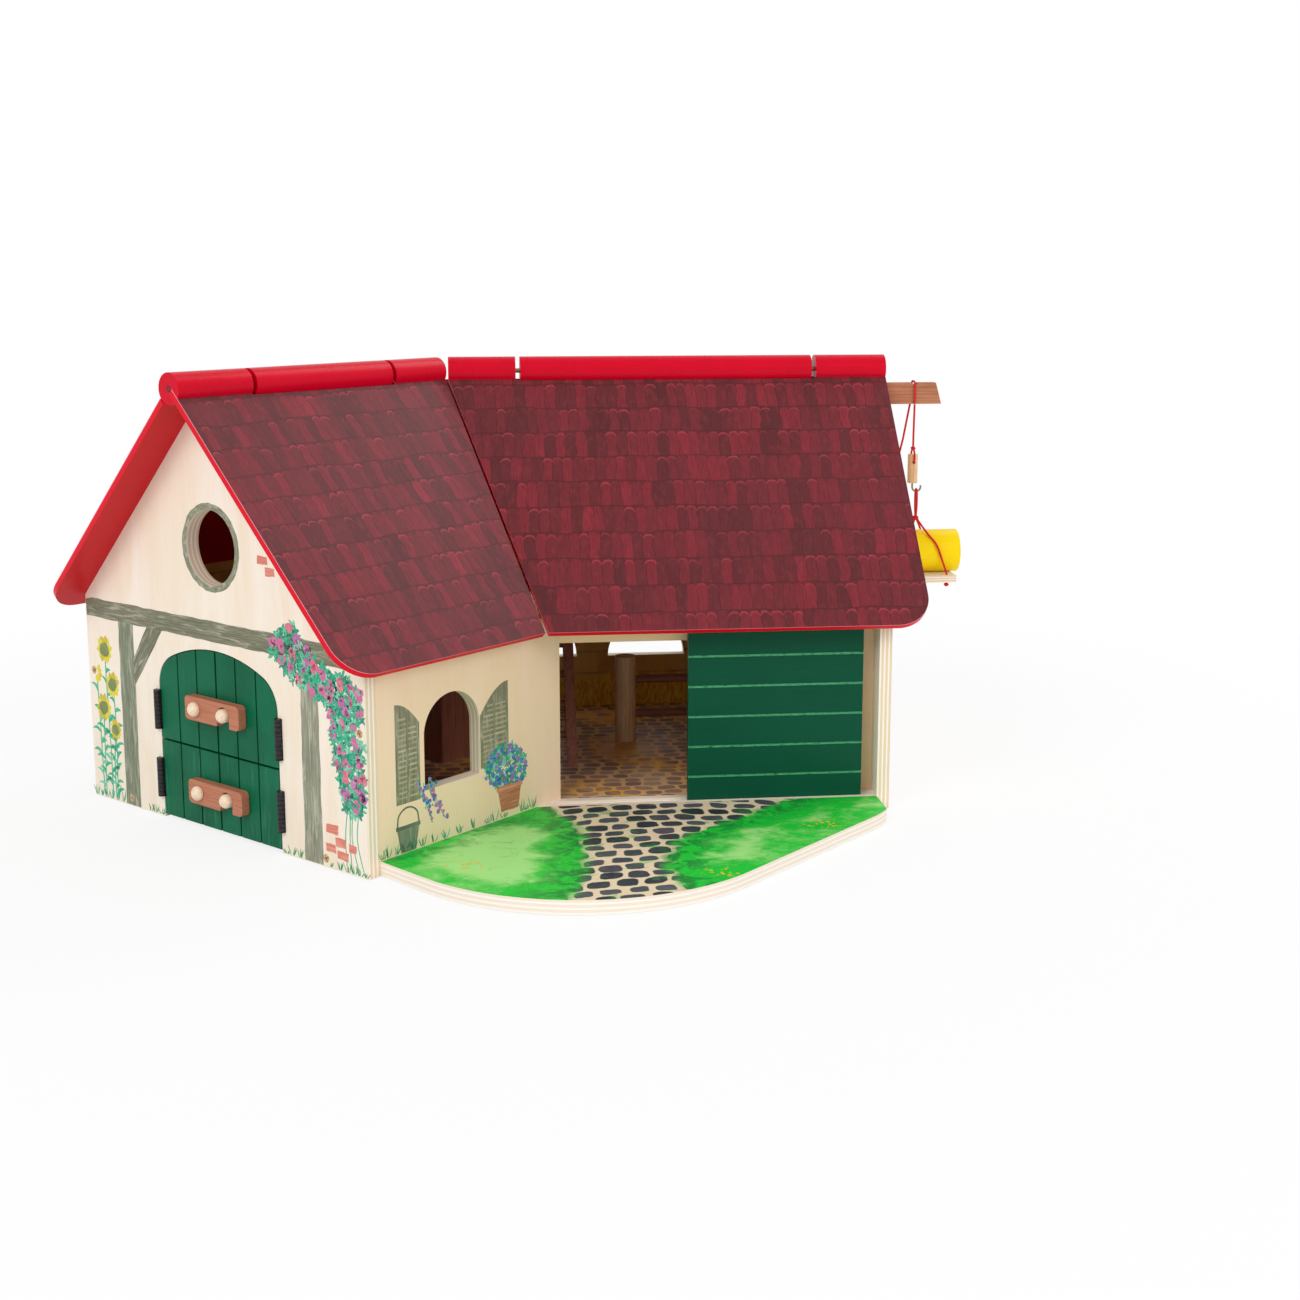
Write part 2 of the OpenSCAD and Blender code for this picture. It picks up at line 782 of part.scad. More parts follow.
module pins_of(rolls) {
    short = pin_grip - 0.5;
    translate([0, ridge_y, ridge_z]) {
        bar_x(rolls[0][1] - short, rolls[1][0] + pin_grip, ridge_pin_d / 2);
        bar_x(rolls[1][1] - pin_grip, rolls[2][0] + short, ridge_pin_d / 2);
    }
}
module ridge_pins() {
    color(steel) {
        left_wing() pins_of(left_rolls);
        pins_of(right_rolls);
    }
}

// Loft over the corner and the back half of the right wing
stall_x = 32;
stall_y = 116;
board_t = 6;
inside = wing_w - wall_t;
module loft_floor() {
    color(ply) translate([0, 0, loft_z]) linear_extrude(loft_t)
        polygon([turned(stall_x, stall_y), turned(stall_x, inside), [-inside * mitre, inside],
            [end_x, inside], [end_x, loft_edge], [loft_edge - stall_y / cos(wing_turn), loft_edge]]);
}

// Two boards that close off a stall in the corner between the wings
module partition_cross() {
    color(latch_brown) left_wing()
        translate([stall_x, stall_y, floor_z]) cube([board_t, inside - stall_y, loft_z - floor_z]);
}
long_l = 86;
module partition_long() {
    color(latch_brown) left_wing()
        translate([stall_x + board_t, stall_y, floor_z]) cube([long_l, board_t, loft_z - floor_z]);
}

// Ladder that leans against the edge of the loft
ladder_x = -4;
ladder_foot = 88;
stile_w = 8;
stile_t = 7;
rung_d = 5;
ladder_top = loft_z + loft_t + 12;
ladder_run = (loft_edge - move_gap - stile_w - ladder_foot) / (loft_z + loft_t - floor_z);
function ladder_y(z) = ladder_foot + (z - floor_z) * ladder_run;
module ladder_stiles() {
    color(latch_brown) difference() {
        for (x = [ladder_x, ladder_x + ladder_w - stile_t])
            translate([x, 0, 0]) rotate([90, 0, 90]) linear_extrude(stile_t)
                polygon([[ladder_foot, floor_z], [ladder_foot + stile_w, floor_z],
                    [ladder_y(ladder_top) + stile_w, ladder_top], [ladder_y(ladder_top), ladder_top]]);
        ladder_rung_bars(0);
        translate([ladder_x - 1, loft_edge - move_gap, loft_z - 30]) cube([ladder_w + 2, 60, 60]);
    }
}
module ladder_rung_bars(extra) {
    pitch = (ladder_top - floor_z) / (rung_count + 1);
    for (i = [1 : rung_count])
        translate([0, ladder_y(floor_z + i * pitch) + stile_w / 2, floor_z + i * pitch])
            bar_x(ladder_x - extra, ladder_x + ladder_w + extra, rung_d / 2);
}
module ladder_rungs() {
    color(latch_brown) ladder_rung_bars(0);
}

// Stall fence in the right wing
post_x = 70.7;
post_y = 153;
rail_heights = [28, 53];
module stall_post() {
    color(ply) difference() {
        translate([post_x, post_y, floor_z]) cylinder(d = post_d, h = post_top - floor_z);
        stall_rail_bars();
    }
}
module stall_rail_bars() {
    for (z = rail_heights)
        translate([0, post_y, z]) bar_x(post_x, end_x, rail_d / 2);
}
module stall_rails() {
    color(latch_brown) stall_rail_bars();
}

// Hoist beam through the end wall, with a slanted end and a notch that the cord lies in
beam_inside = 12;
cord_x = right_len + 44;
notch_r = 1.6;
beam_top = beam_z + beam_h;
module hoist_beam() {
    color(latch_brown) difference() {
        long_board(ridge_y - beam_t / 2, beam_t)
            polygon([[end_x - beam_inside, beam_z], [right_len + beam_reach + 4, beam_z],
                [right_len + beam_reach, beam_top], [end_x - beam_inside, beam_top]]);
        translate([cord_x, ridge_y - beam_t, beam_top]) rotate([-90, 0, 0])
            cylinder(r = notch_r, h = 2 * beam_t);
    }
}

// Peg on the end wall that the free end of the cord is wound on
cleat_y = 44;
cleat_z = 50;
cleat_d = 8;
cleat_out = 14;
module cleat_peg() {
    color(peg_cream) translate([end_x, ridge_y + cleat_y, cleat_z]) {
        bar_x(0, end_t + cleat_out, cleat_d / 2);
        translate([end_t + cleat_out, 0, 0]) rotate([0, 90, 0]) dome(cleat_d, 2.5);
    }
}

// Cords: an eight-sided tube swept along its points
cord_sides = 8;
function unit(a) = a / norm(a);
function heading(pts, i) = unit(pts[min(i + 1, len(pts) - 1)] - pts[max(i - 1, 0)]);
function ring(p, u, v, r) =
    [for (k = [0 : cord_sides - 1]) p + r * (cos(k * 360 / cord_sides) * u + sin(k * 360 / cord_sides) * v)];
module tube_along(pts, hint) {
    n = len(pts);
    rings = [for (i = [0 : n - 1])
        let (d = heading(pts, i), u = unit(cross(d, hint)))
            each ring(pts[i], u, cross(d, u), cord_d / 2)];
    sides = [for (i = [0 : n - 2], k = [0 : cord_sides - 1])
        let (a = i * cord_sides, b = a + cord_sides, m = (k + 1) % cord_sides) [a + k, b + k, b + m, a + m]];
    caps = [[for (k = [0 : cord_sides - 1]) k],
        [for (k = [cord_sides - 1 : -1 : 0]) (n - 1) * cord_sides + k]];
    polyhedron(points = rings, faces = concat(sides, caps), convexity = 4);
}

// The lifting leg hangs from the yard side of the beam and comes in over the toggle; its points
// are steps from the notch, across the ridge and from the underside of the beam
toggle_x = cord_x + 1;
lift_points = [[0, -4.8, -0.2], [0.2, -3.8, -7.4], [0.7, -1.2, -21.4], [1, 0, -29.1]];
module lift_cord() {
    color(cord_red) translate([cord_x, ridge_y, beam_z]) tube_along(lift_points, [1, 0, 0]);
}
// The free leg goes over the beam and down to its peg, with one turn round the peg
cleat_turn = [for (i = [0 : 8])
    [-36 - 0.25 * i, cleat_y + 4.9 * cos(30 - 45 * i), cleat_z - beam_z + 4.9 * sin(30 - 45 * i)]];
tail_points = concat([[0, -4.8, 0.3], [0, -4.8, 12.1], [0, -3.6, 15], [0, 0, 15.5], [0, 3.6, 15],
    [0, 4.8, 12.1], [-0.6, 5.4, -0.4], [-18, 25, -99.4]], cleat_turn);
module tail_cord() {
    color(cord_red) translate([cord_x, ridge_y, beam_z]) tube_along(tail_points, [1, 0.07, 0.03]);
}

toggle_top = 214;
toggle_z = toggle_top - toggle_h;
toggle_hole_z = toggle_top - 5.5;
module toggle() {
    color(peg_cream) difference() {
        translate([toggle_x, ridge_y, toggle_z]) cylinder(d = toggle_d, h = toggle_h);
        translate([toggle_x, ridge_y - toggle_d, toggle_hole_z]) rotate([-90, 0, 0])
            cylinder(d = 2.2, h = 2 * toggle_d);
        translate([toggle_x, ridge_y, toggle_z - 1]) cylinder(d = hook_wire, h = 6);
    }
}

// Wire hook under the toggle
hook_wire = 1.3;
hook_r = 3;
module load_hook() {
    color(steel) translate([toggle_x, ridge_y, toggle_z]) {
        translate([0, 0, -3]) cylinder(d = hook_wire, h = 8);
        translate([0, 0, -3]) rotate([90, 0, 0]) rotate([0, 0, -180])
            translate([-hook_r, 0, 0]) rotate_extrude(angle = 200, $fn = 32)
                translate([hook_r, 0]) circle(d = hook_wire, $fn = 16);
    }
}

// Platform that hangs from the hook by four cords, which lie against the bale on their way down
load_x = toggle_x + hook_r;
platform_top = 131;
bale_z = platform_top + bale_d / 2 - 0.3;
corner_x = platform_l / 2 - 6;
corner_y = platform_w / 2 - 4;
knot_d = 3.6;
// Loop through the toggle, loop over the hook and one leg, as steps from the middle of the load
toggle_loop = [[0, -0.8, 218.4], [0, -3.9, 215.6], [0, -4.7, 213.4], [0, -4.7, 211], [0, -4, 208.8],
    [0, 0, 208.5], [0, 4, 208.8], [0, 4.7, 211], [0, 4.7, 213.4], [0, 3.9, 215.6], [0, 0.8, 218.4]];
toggle_knot_z = 218.3;
hook_loop = [[0, -0.8, 170.5], [0, -2.2, 177], [0, -2.2, 186.6], [0, -1.7, 188.3], [0, 0, 189.6],
    [0, 1.7, 188.3], [0, 2.2, 186.6], [0, 2.2, 177], [0, 0.8, 170.5]];
leg = [[0.8, 0.8, 168.4], [5.5, 7.6, 160.6], [8, 11.4, 157], [10.6, 14, 153.7], [12.6, 15.7, 149.6],
    [14, 16.1, 145.6], [16.5, 16.1, 138.5], [19, 16, 131], [19, 16, 124.4]];
module load_cords() {
    color(cord_red) {
        translate([toggle_x, ridge_y, 0]) tube_along(toggle_loop, [1, 0, 0]);
        translate([toggle_x, ridge_y, toggle_knot_z]) sphere(d = knot_d, $fn = 24);
        translate([load_x, ridge_y, 0]) {
            tube_along(hook_loop, [1, 0, 0]);
            translate([0, 0, 169.4]) sphere(d = knot_d + 0.8, $fn = 24);
            for (sx = [0, 1], sy = [0, 1])
                mirror([sx, 0, 0]) mirror([0, sy, 0]) {
                    tube_along(leg, [1, -0.6, 0.3]);
                    translate([corner_x, corner_y, 124]) sphere(d = knot_d, $fn = 24);
                }
        }
    }
}
module platform() {
    color(ply) translate([load_x, ridge_y, platform_top - platform_t]) difference() {
        translate([-platform_l / 2, -platform_w / 2, 0]) cube([platform_l, platform_w, platform_t]);
        for (sx = [-1, 1], sy = [-1, 1])
            translate([sx * corner_x, sy * corner_y, -1]) cylinder(d = cord_d + 0.6, h = platform_t + 2);
    }
}
module hay_bale() {
    color(bale_yellow) difference() {
        translate([0, ridge_y, bale_z]) bar_x(load_x - bale_l / 2, load_x + bale_l / 2, bale_d / 2);
        translate([0, 0, platform_top - bale_d]) cube([tall, tall, bale_d]);
    }
}

base_plate();
gable_wall();
yard_wall();
outer_wall();
back_wall();
end_wall();
front_panel();
door_rail();
sliding_door();
leaf_upper_left();
leaf_upper_right();
leaf_lower_left();
leaf_lower_right();
frame_hinge_halves();
hinge_half_upper_left();
hinge_half_upper_right();
hinge_half_lower_left();
hinge_half_lower_right();
hinge_pins();
latch_bar_upper();
latch_bar_lower();
pivot_peg_upper();
pivot_peg_lower();
catch_peg_upper();
catch_peg_lower();
roof_left_yard();
roof_left_outer();
roof_right_yard();
roof_right_back();
left_end_rolls();
left_middle_roll();
right_end_rolls();
right_middle_roll();
ridge_pins();
loft_floor();
partition_cross();
partition_long();
ladder_stiles();
ladder_rungs();
stall_post();
stall_rails();
hoist_beam();
cleat_peg();
lift_cord();
tail_cord();
toggle();
load_hook();
load_cords();
platform();
hay_bale();
wall_screws();
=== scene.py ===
"""Looks of the toy barn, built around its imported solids.

Lengths in this file are millimetres in the part's own frame, and become metres where a mesh,
a lamp or the camera is made.
"""

import math
import random

import bmesh
import bpy
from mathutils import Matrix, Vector


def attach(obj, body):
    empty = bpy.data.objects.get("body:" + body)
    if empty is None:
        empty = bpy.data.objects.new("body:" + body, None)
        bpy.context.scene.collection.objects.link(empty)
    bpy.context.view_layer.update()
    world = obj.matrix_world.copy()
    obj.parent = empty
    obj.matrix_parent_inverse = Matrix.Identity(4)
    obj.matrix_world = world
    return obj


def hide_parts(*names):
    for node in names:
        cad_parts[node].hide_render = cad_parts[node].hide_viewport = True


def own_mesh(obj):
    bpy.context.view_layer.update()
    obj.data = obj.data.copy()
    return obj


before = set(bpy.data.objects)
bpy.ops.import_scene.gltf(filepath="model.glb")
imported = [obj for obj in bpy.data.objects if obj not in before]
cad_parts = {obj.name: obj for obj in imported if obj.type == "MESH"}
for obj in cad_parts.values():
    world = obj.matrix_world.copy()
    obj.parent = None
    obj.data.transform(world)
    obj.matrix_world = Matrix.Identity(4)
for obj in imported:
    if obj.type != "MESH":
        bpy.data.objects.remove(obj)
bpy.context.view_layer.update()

MM = 0.001
WING_TURN = math.radians(45)
COS_TURN = math.cos(WING_TURN)
SIN_TURN = math.sin(WING_TURN)
GABLE = -141.4
WALL_BACK = 255.5
WALL_T = 8.5
RIDGE_Y = 132.0
RIDGE_Z = 274.0
PITCH = math.radians(46)


def metres(x, y, z):
    return Vector((x * MM, y * MM, z * MM))


def left_wing(along, across, up):
    """A point given along and across the left wing, in metres."""
    return metres(along * COS_TURN - across * SIN_TURN, along * SIN_TURN + across * COS_TURN, up)


# Camera

def place_camera():
    data = bpy.data.cameras.new("photo_camera")
    data.lens = 48.8
    data.sensor_width = 36.0
    data.shift_y = -0.0623
    data.clip_start = 0.02
    data.clip_end = 50.0
    camera = bpy.data.objects.new("photo_camera", data)
    bpy.context.scene.collection.objects.link(camera)
    camera.location = metres(-45.3, -1068.0, 345.0)
    camera.rotation_euler = (math.radians(90.0 - 9.82), 0.0, math.radians(-6.25))
    bpy.context.scene.camera = camera


place_camera()


# Meshes

def piece_from(bm, name, body, smooth=False):
    """Turns a finished mesh into a piece that rides on a body."""
    bmesh.ops.recalc_face_normals(bm, faces=bm.faces)
    mesh = bpy.data.meshes.new(name)
    bm.to_mesh(mesh)
    bm.free()
    made = bpy.data.objects.new(name, mesh)
    bpy.context.scene.collection.objects.link(made)
    if smooth:
        for face in mesh.polygons:
            face.use_smooth = True
    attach(made, body)
    return made


def smooth_route(points, steps):
    """More points on one smooth curve through the given ones, each stretch bent by its own length."""
    spots = [Vector(p) for p in points]
    spans = [end - start for start, end in zip(spots, spots[1:])]
    ways = [(before.normalized() + after.normalized()).normalized()
            for before, after in zip(spans[:1] + spans, spans + spans[-1:])]
    route = []
    for start, end, span, way_out, way_in in zip(spots, spots[1:], spans, ways, ways[1:]):
        for k in range(steps):
            t = k / steps
            route.append(start * (2 * t ** 3 - 3 * t ** 2 + 1) + end * (3 * t ** 2 - 2 * t ** 3)
                         + span.length * (way_out * (t ** 3 - 2 * t ** 2 + t)
                                          + way_in * (t ** 3 - t ** 2)))
    route.append(spots[-1])
    return route


def curve(points):
    """A smooth flat route through points of a picture."""
    return [(p.x, p.y) for p in smooth_route([(u, v, 0) for u, v in points], 4)]


def bridge(bm, rings):
    """Faces between each ring of points and the next."""
    for near, far in zip(rings, rings[1:]):
        for k in range(len(near)):
            after = (k + 1) % len(near)
            bm.faces.new((near[k], near[after], far[after], far[k]))


def round_angles(sides):
    return [math.tau * k / sides for k in range(sides)]


def tube(bm, route, radius, sides=10):
    """A round tube along a route, closed at both ends."""
    side = Vector((1.0, 0.3, 0.2)).normalized()
    rings = []
    for i, spot in enumerate(route):
        heading = (route[min(i + 1, len(route) - 1)] - route[max(i - 1, 0)]).normalized()
        side = (side - heading * side.dot(heading)).normalized()
        up = heading.cross(side)
        rings.append([bm.verts.new(spot + radius * (math.cos(a) * side + math.sin(a) * up))
                      for a in round_angles(sides)])
    bridge(bm, rings)
    bm.faces.new(list(reversed(rings[0])))
    bm.faces.new(rings[-1])


def knot(bm, centre, radius, seed):
    """A small pulled-tight knot: two crossing wraps over a lumpy core."""
    rng = random.Random(seed)
    core = bmesh.ops.create_icosphere(bm, subdivisions=2, radius=radius * 0.82)
    for vert in core["verts"]:
        vert.co = vert.co * (1.0 + 0.06 * (rng.random() - 0.5)) + centre
    for tilt, turn in ((0.5, 0.0), (-0.6, 1.2)):
        wrap = []
        for a in round_angles(16):
            spot = Vector((math.cos(a), math.sin(a), math.sin(a + turn) * tilt * 0.6))
            wrap.append(centre + spot.normalized() * radius * 0.72)
        tube(bm, wrap, radius * 0.30, 8)


# Cords

CORD = 1.4
CORD_R = CORD / 2 * MM
PEG_TURN_R = 4.9
LIFT_ROUTE = [(270, 127.2, 249.2), (270.2, 128.2, 242), (270.7, 130.8, 228), (271, 132, 220.3),
              (271, 132, 218.5)]
PEG_TURN = [(234 - 0.25 * i, 176 + PEG_TURN_R * math.cos(math.radians(30 - 45 * i)),
             50 + PEG_TURN_R * math.sin(math.radians(30 - 45 * i))) for i in range(9)]
TAIL_ROUTE = [(270, 127.2, 249.7), (270, 127.2, 261.5), (270, 128.4, 264.4), (270, 132, 264.9),
              (270, 135.6, 264.4), (270, 136.8, 261.5), (269.4, 137.4, 249),
              (252, 157, 150)] + PEG_TURN
TOGGLE_LOOP = [(0, -0.8, 218.4), (0, -3.9, 215.6), (0, -4.7, 213.4), (0, -4.7, 211), (0, -4, 208.8),
               (0, 0, 208.5), (0, 4, 208.8), (0, 4.7, 211), (0, 4.7, 213.4), (0, 3.9, 215.6),
               (0, 0.8, 218.4)]
HOOK_LOOP = [(0, -0.8, 170.5), (0, -2.2, 177), (0, -2.2, 186.6), (0, -1.7, 188.3), (0, 0, 189.6),
             (0, 1.7, 188.3), (0, 2.2, 186.6), (0, 2.2, 177), (0, 0.8, 170.5)]
LEG = [(0.8, 0.8, 168.4), (5.5, 7.6, 160.6), (8, 11.4, 157), (10.6, 14, 153.7), (12.6, 15.7, 149.6),
       (14, 16.1, 145.6), (16.5, 16.1, 138.5), (19, 16, 131), (19, 16, 124.4)]
SLING_FOOT = (19, 16, 124.0)
TOGGLE_AT = (271, 132)
LOAD_AT = (274, 132)


def route_length(route):
    return sum((b - a).length for a, b in zip(route, route[1:]))


def cord_piece(name, points, body, at=(0, 0), mirror=(1, 1)):
    """One cord as a tube along its points, and the route of its middle."""
    route = smooth_route([metres(at[0] + mirror[0] * x, at[1] + mirror[1] * y, z)
                          for x, y, z in points], 4)
    bm = bmesh.new()
    tube(bm, route, CORD_R)
    return piece_from(bm, name, body, smooth=True), route


def knot_piece(name, spot, radius, body, seed):
    bm = bmesh.new()
    knot(bm, metres(*spot), radius * MM, seed)
    return piece_from(bm, name, body, smooth=True)


def declare(route, stands_for):
    route_length(route)
    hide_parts(stands_for)


def make_cords():
    cords = []
    lift, route = cord_piece("lift_cord_line", LIFT_ROUTE, "hoist_load")
    toggle_loop, _ = cord_piece("toggle_cord_loop", TOGGLE_LOOP, "hoist_load", TOGGLE_AT)
    toggle_knot = knot_piece("toggle_cord_knot", (271, 132, 218.3), 1.8, "hoist_load", 3)
    declare(route, "lift_cord")
    metres(*LIFT_ROUTE[0])
    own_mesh(lift)

    tail, route = cord_piece("tail_cord_line", TAIL_ROUTE, "barn")
    tail_knot = knot_piece("tail_cord_knot", PEG_TURN[-1], 1.5, "barn", 5)
    declare(route, "tail_cord")

    hook_loop, route = cord_piece("hook_cord_loop", HOOK_LOOP, "hoist_load", LOAD_AT)
    hook_knot = knot_piece("hook_cord_knot", (274, 132, 169.4), 2.2, "hoist_load", 7)
    declare(route, "load_cords")
    cords += [lift, toggle_loop, toggle_knot, tail, tail_knot, hook_loop, hook_knot]
    for number, mirror in enumerate(((1, 1), (-1, 1), (1, -1), (-1, -1)), 1):
        leg, route = cord_piece(f"sling_cord_{number}", LEG, "hoist_load", LOAD_AT, mirror)
        foot = (LOAD_AT[0] + SLING_FOOT[0] * mirror[0], LOAD_AT[1] + SLING_FOOT[1] * mirror[1],
                SLING_FOOT[2])
        leg_knot = knot_piece(f"sling_knot_{number}", foot, 1.8, "hoist_load", 10 + number)
        declare(route, "load_cords")
        cords += [leg, leg_knot]
    return cords


cord_pieces = make_cords()


# Screws and the pin in the ridge roll

SCREW_L = 20.0
HEAD_R = 2.6
SHANK_R = 1.3
RECESS = 1.0
GABLE_SCREWS = [(224, 5.25), (36, 5.25), (258.75, 85), (4.25, 85)]
END_SCREWS = [(36, 5.25), (224, 5.25), (259.75, 85)]
END_FACE = 226.0
ROLL_FRONT = -165.8


def cross_reach(angle, arm=1.75, half=0.42):
    """How far a cross recess reaches from its middle at an angle."""
    u, v = max(abs(math.cos(angle)), 1e-6), max(abs(math.sin(angle)), 1e-6)
    return max(min(arm / u, half / v), min(half / u, arm / v))


def countersunk_screw(bm, spot, turn, sides=48):
    """One screw with a cross recess; spot places a point by its two offsets and its lift."""
    def ring(lift, reach):
        return [bm.verts.new(spot(reach(a) * math.cos(a + turn), reach(a) * math.sin(a + turn), lift))
                for a in round_angles(sides)]

    rings = [ring(-RECESS, lambda a: cross_reach(a) * 0.7), ring(0.12, cross_reach),
             ring(0.12, lambda a: HEAD_R - 0.3), ring(0.0, lambda a: HEAD_R),
             ring(-2.1, lambda a: SHANK_R), ring(-SCREW_L, lambda a: SHANK_R)]
    bridge(bm, rings)
    for end, lift in ((rings[0], -RECESS), (rings[-1], -SCREW_L)):
        middle = bm.verts.new(spot(0.0, 0.0, lift))
        for k in range(sides):
            bm.faces.new((end[k], end[(k + 1) % sides], middle))


def make_screws():
    bm = bmesh.new()
    for number, (across, up) in enumerate(GABLE_SCREWS):
        countersunk_screw(bm, lambda u, v, lift: left_wing(GABLE - lift, across + u, up + v),
                          number * 0.9)
    for number, (across, up) in enumerate(END_SCREWS):
        countersunk_screw(bm, lambda u, v, lift: metres(END_FACE + lift, across + u, up + v),
                          number * 1.3)
    made = piece_from(bm, "board_screws", "barn")
    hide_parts("wall_screws")
    return made


def make_roll_pin_end():
    """The hinge pin seen in the front end of the left ridge roll, in a flat dark ring that is painted
    shade standing for its hole.
    """
    bm = bmesh.new()
    rings = []
    for reach, lift in ((1.9, -0.3), (1.9, 0.04), (1.15, 0.04), (1.05, -0.05), (0.9, 0.06)):
        rings.append([bm.verts.new(left_wing(ROLL_FRONT - lift, RIDGE_Y + reach * math.cos(a),
                                             RIDGE_Z + reach * math.sin(a)))
                      for a in round_angles(32)])
    bridge(bm, rings)
    bm.faces.new(rings[0])
    bm.faces.new(rings[-1])
    return piece_from(bm, "roll_pin_end", "left_roof")


screw_piece = make_screws()
roll_pin = make_roll_pin_end()


# Finishes

def paint(red, green, blue):
    """A colour as it looks on a screen, 0 to 255, in the linear values that a shader takes."""
    def linear(c):
        c /= 255
        return c / 12.92 if c <= 0.04045 else ((c + 0.055) / 1.055) ** 2.4
    return (linear(red), linear(green), linear(blue), 1.0)


class Amount:
    """A socket whose value changes over a surface; an expression on it adds its Math nodes."""

    def __init__(self, finish, socket):
        self.finish = finish
        self.socket = socket

    def of(self, name):
        """Another output of the same node."""
        return Amount(self.finish, self.socket.node.outputs[name])

    def maths(self, operation, *values):
        return self.finish.node("ShaderNodeMath", {"operation": operation}, dict(enumerate(values)))

    def __add__(self, other):
        return self.maths("ADD", self, other)

    def __radd__(self, other):
        return self.maths("ADD", other, self)

    def __sub__(self, other):
        return self.maths("SUBTRACT", self, other)

    def __rsub__(self, other):
        return self.maths("SUBTRACT", other, self)

    def __mul__(self, other):
        return self.maths("MULTIPLY", self, other)

    def __rmul__(self, other):
        return self.maths("MULTIPLY", other, self)

    def __truediv__(self, other):
        return self.maths("DIVIDE", self, other)

    def __mod__(self, other):
        return self.maths("FLOORED_MODULO", self, other)

    def __pow__(self, other):
        return self.maths("POWER", self, other)

    def __abs__(self):
        return self.maths("ABSOLUTE", self)

    def __gt__(self, other):
        return self.maths("GREATER_THAN", self, other)

    def __lt__(self, other):
        return self.maths("LESS_THAN", self, other)

    def floor(self):
        return self.maths("FLOOR", self)

    def root(self):
        return self.maths("SQRT", self)

    def rise(self, start, end):
        """0 up to start and 1 from end on, smooth between them."""
        return self.finish.node("ShaderNodeMapRange", {"interpolation_type": "SMOOTHSTEP"},
                                {"Value": self, "From Min": start, "From Max": end})

    def fall(self, start, end):
        return 1 - self.rise(start, end)


class Finish:
    """One material: its shader and the ways to vary it over a surface."""

    def __init__(self, name, **settings):
        self.material = bpy.data.materials.new(name)
        self.material.use_nodes = True
        self.tree = self.material.node_tree
        self.tree.nodes.clear()
        self.output = self.tree.nodes.new("ShaderNodeOutputMaterial")
        self.shader = self.tree.nodes.new("ShaderNodeBsdfPrincipled")
        self.tree.links.new(self.shader.outputs[0], self.output.inputs[0])
        for key, value in settings.items():
            self.shader.inputs[key.replace("_", " ")].default_value = value

    def feed(self, socket, value):
        if isinstance(value, Amount):
            self.tree.links.new(value.socket, socket)
        else:
            socket.default_value = value

    def node(self, kind, settings=None, sockets=None):
        made = self.tree.nodes.new(kind)
        for key, value in (settings or {}).items():
            if key == "stops":
                ramp = made.color_ramp.elements
                ramp[0].position, ramp[0].color = value[0]
                ramp[1].position, ramp[1].color = value[-1]
                for place, colour in value[1:-1]:
                    ramp.new(place).color = colour
            else:
                setattr(made, key, value)
        for key, value in (sockets or {}).items():
            self.feed(made.inputs[key], value)
        output = 2 if kind == "ShaderNodeMix" else 0
        return Amount(self, made.outputs[output])

    def place(self, turned=False):
        """Along, across and up in millimetres, in the frame of the right or the left wing."""
        spot = self.node("ShaderNodeTexCoord").of("Object")
        split = self.node("ShaderNodeSeparateXYZ", {}, {0: spot})
        x, y, z = (split.of(axis) * 1000 for axis in "XYZ")
        if turned:
            return (x + y) * COS_TURN, (y - x) * SIN_TURN, z
        return x, y, z

    def facing(self, direction):
        """How much the surface faces a direction, from -1 to 1."""
        normal = self.node("ShaderNodeTexCoord").of("Normal")
        return self.node("ShaderNodeVectorMath", {"operation": "DOT_PRODUCT"},
                         {0: normal, 1: direction}).of("Value")

    def spot(self, *parts):
        return self.node("ShaderNodeCombineXYZ", {}, dict(enumerate(parts)))

    def noise(self, parts, detail=2.0, roughness=0.5, distortion=0.0):
        return self.node("ShaderNodeTexNoise", {}, {
            "Vector": self.spot(*parts), "Scale": 1.0, "Detail": detail, "Roughness": roughness,
            "Distortion": distortion})

    def chance(self, *parts):
        """A random number for each whole-numbered place."""
        return self.node("ShaderNodeTexWhiteNoise", {}, {"Vector": self.spot(*parts)})

    def mix(self, mask, low, high):
        return self.node("ShaderNodeMix", {"data_type": "RGBA"}, {0: mask, 6: low, 7: high})

    def ramp(self, amount, stops):
        return self.node("ShaderNodeValToRGB", {"stops": stops}, {0: amount})

    def done(self, colour, roughness, relief, depth):
        """Relief is a height from 0 to 1, and depth what 1 stands for in millimetres."""
        bump = self.node("ShaderNodeBump", {}, {"Height": relief, "Distance": depth * MM,
                                                "Strength": 1.0})
        for socket, value in (("Base Color", colour), ("Roughness", roughness), ("Normal", bump)):
            self.feed(self.shader.inputs[socket], value)
        return self.material


BIRCH_FACE = paint(250, 240, 226)
BIRCH_WARM = paint(245, 229, 206)
BIRCH_DARK = paint(226, 200, 164)
PLY_LIGHT = paint(253, 246, 232)
PLY_DARK = paint(236, 214, 182)


def along_left(sign=1.0):
    return (sign * COS_TURN, sign * SIN_TURN, 0.0)


def across_left(sign=1.0):
    return (-sign * SIN_TURN, sign * COS_TURN, 0.0)


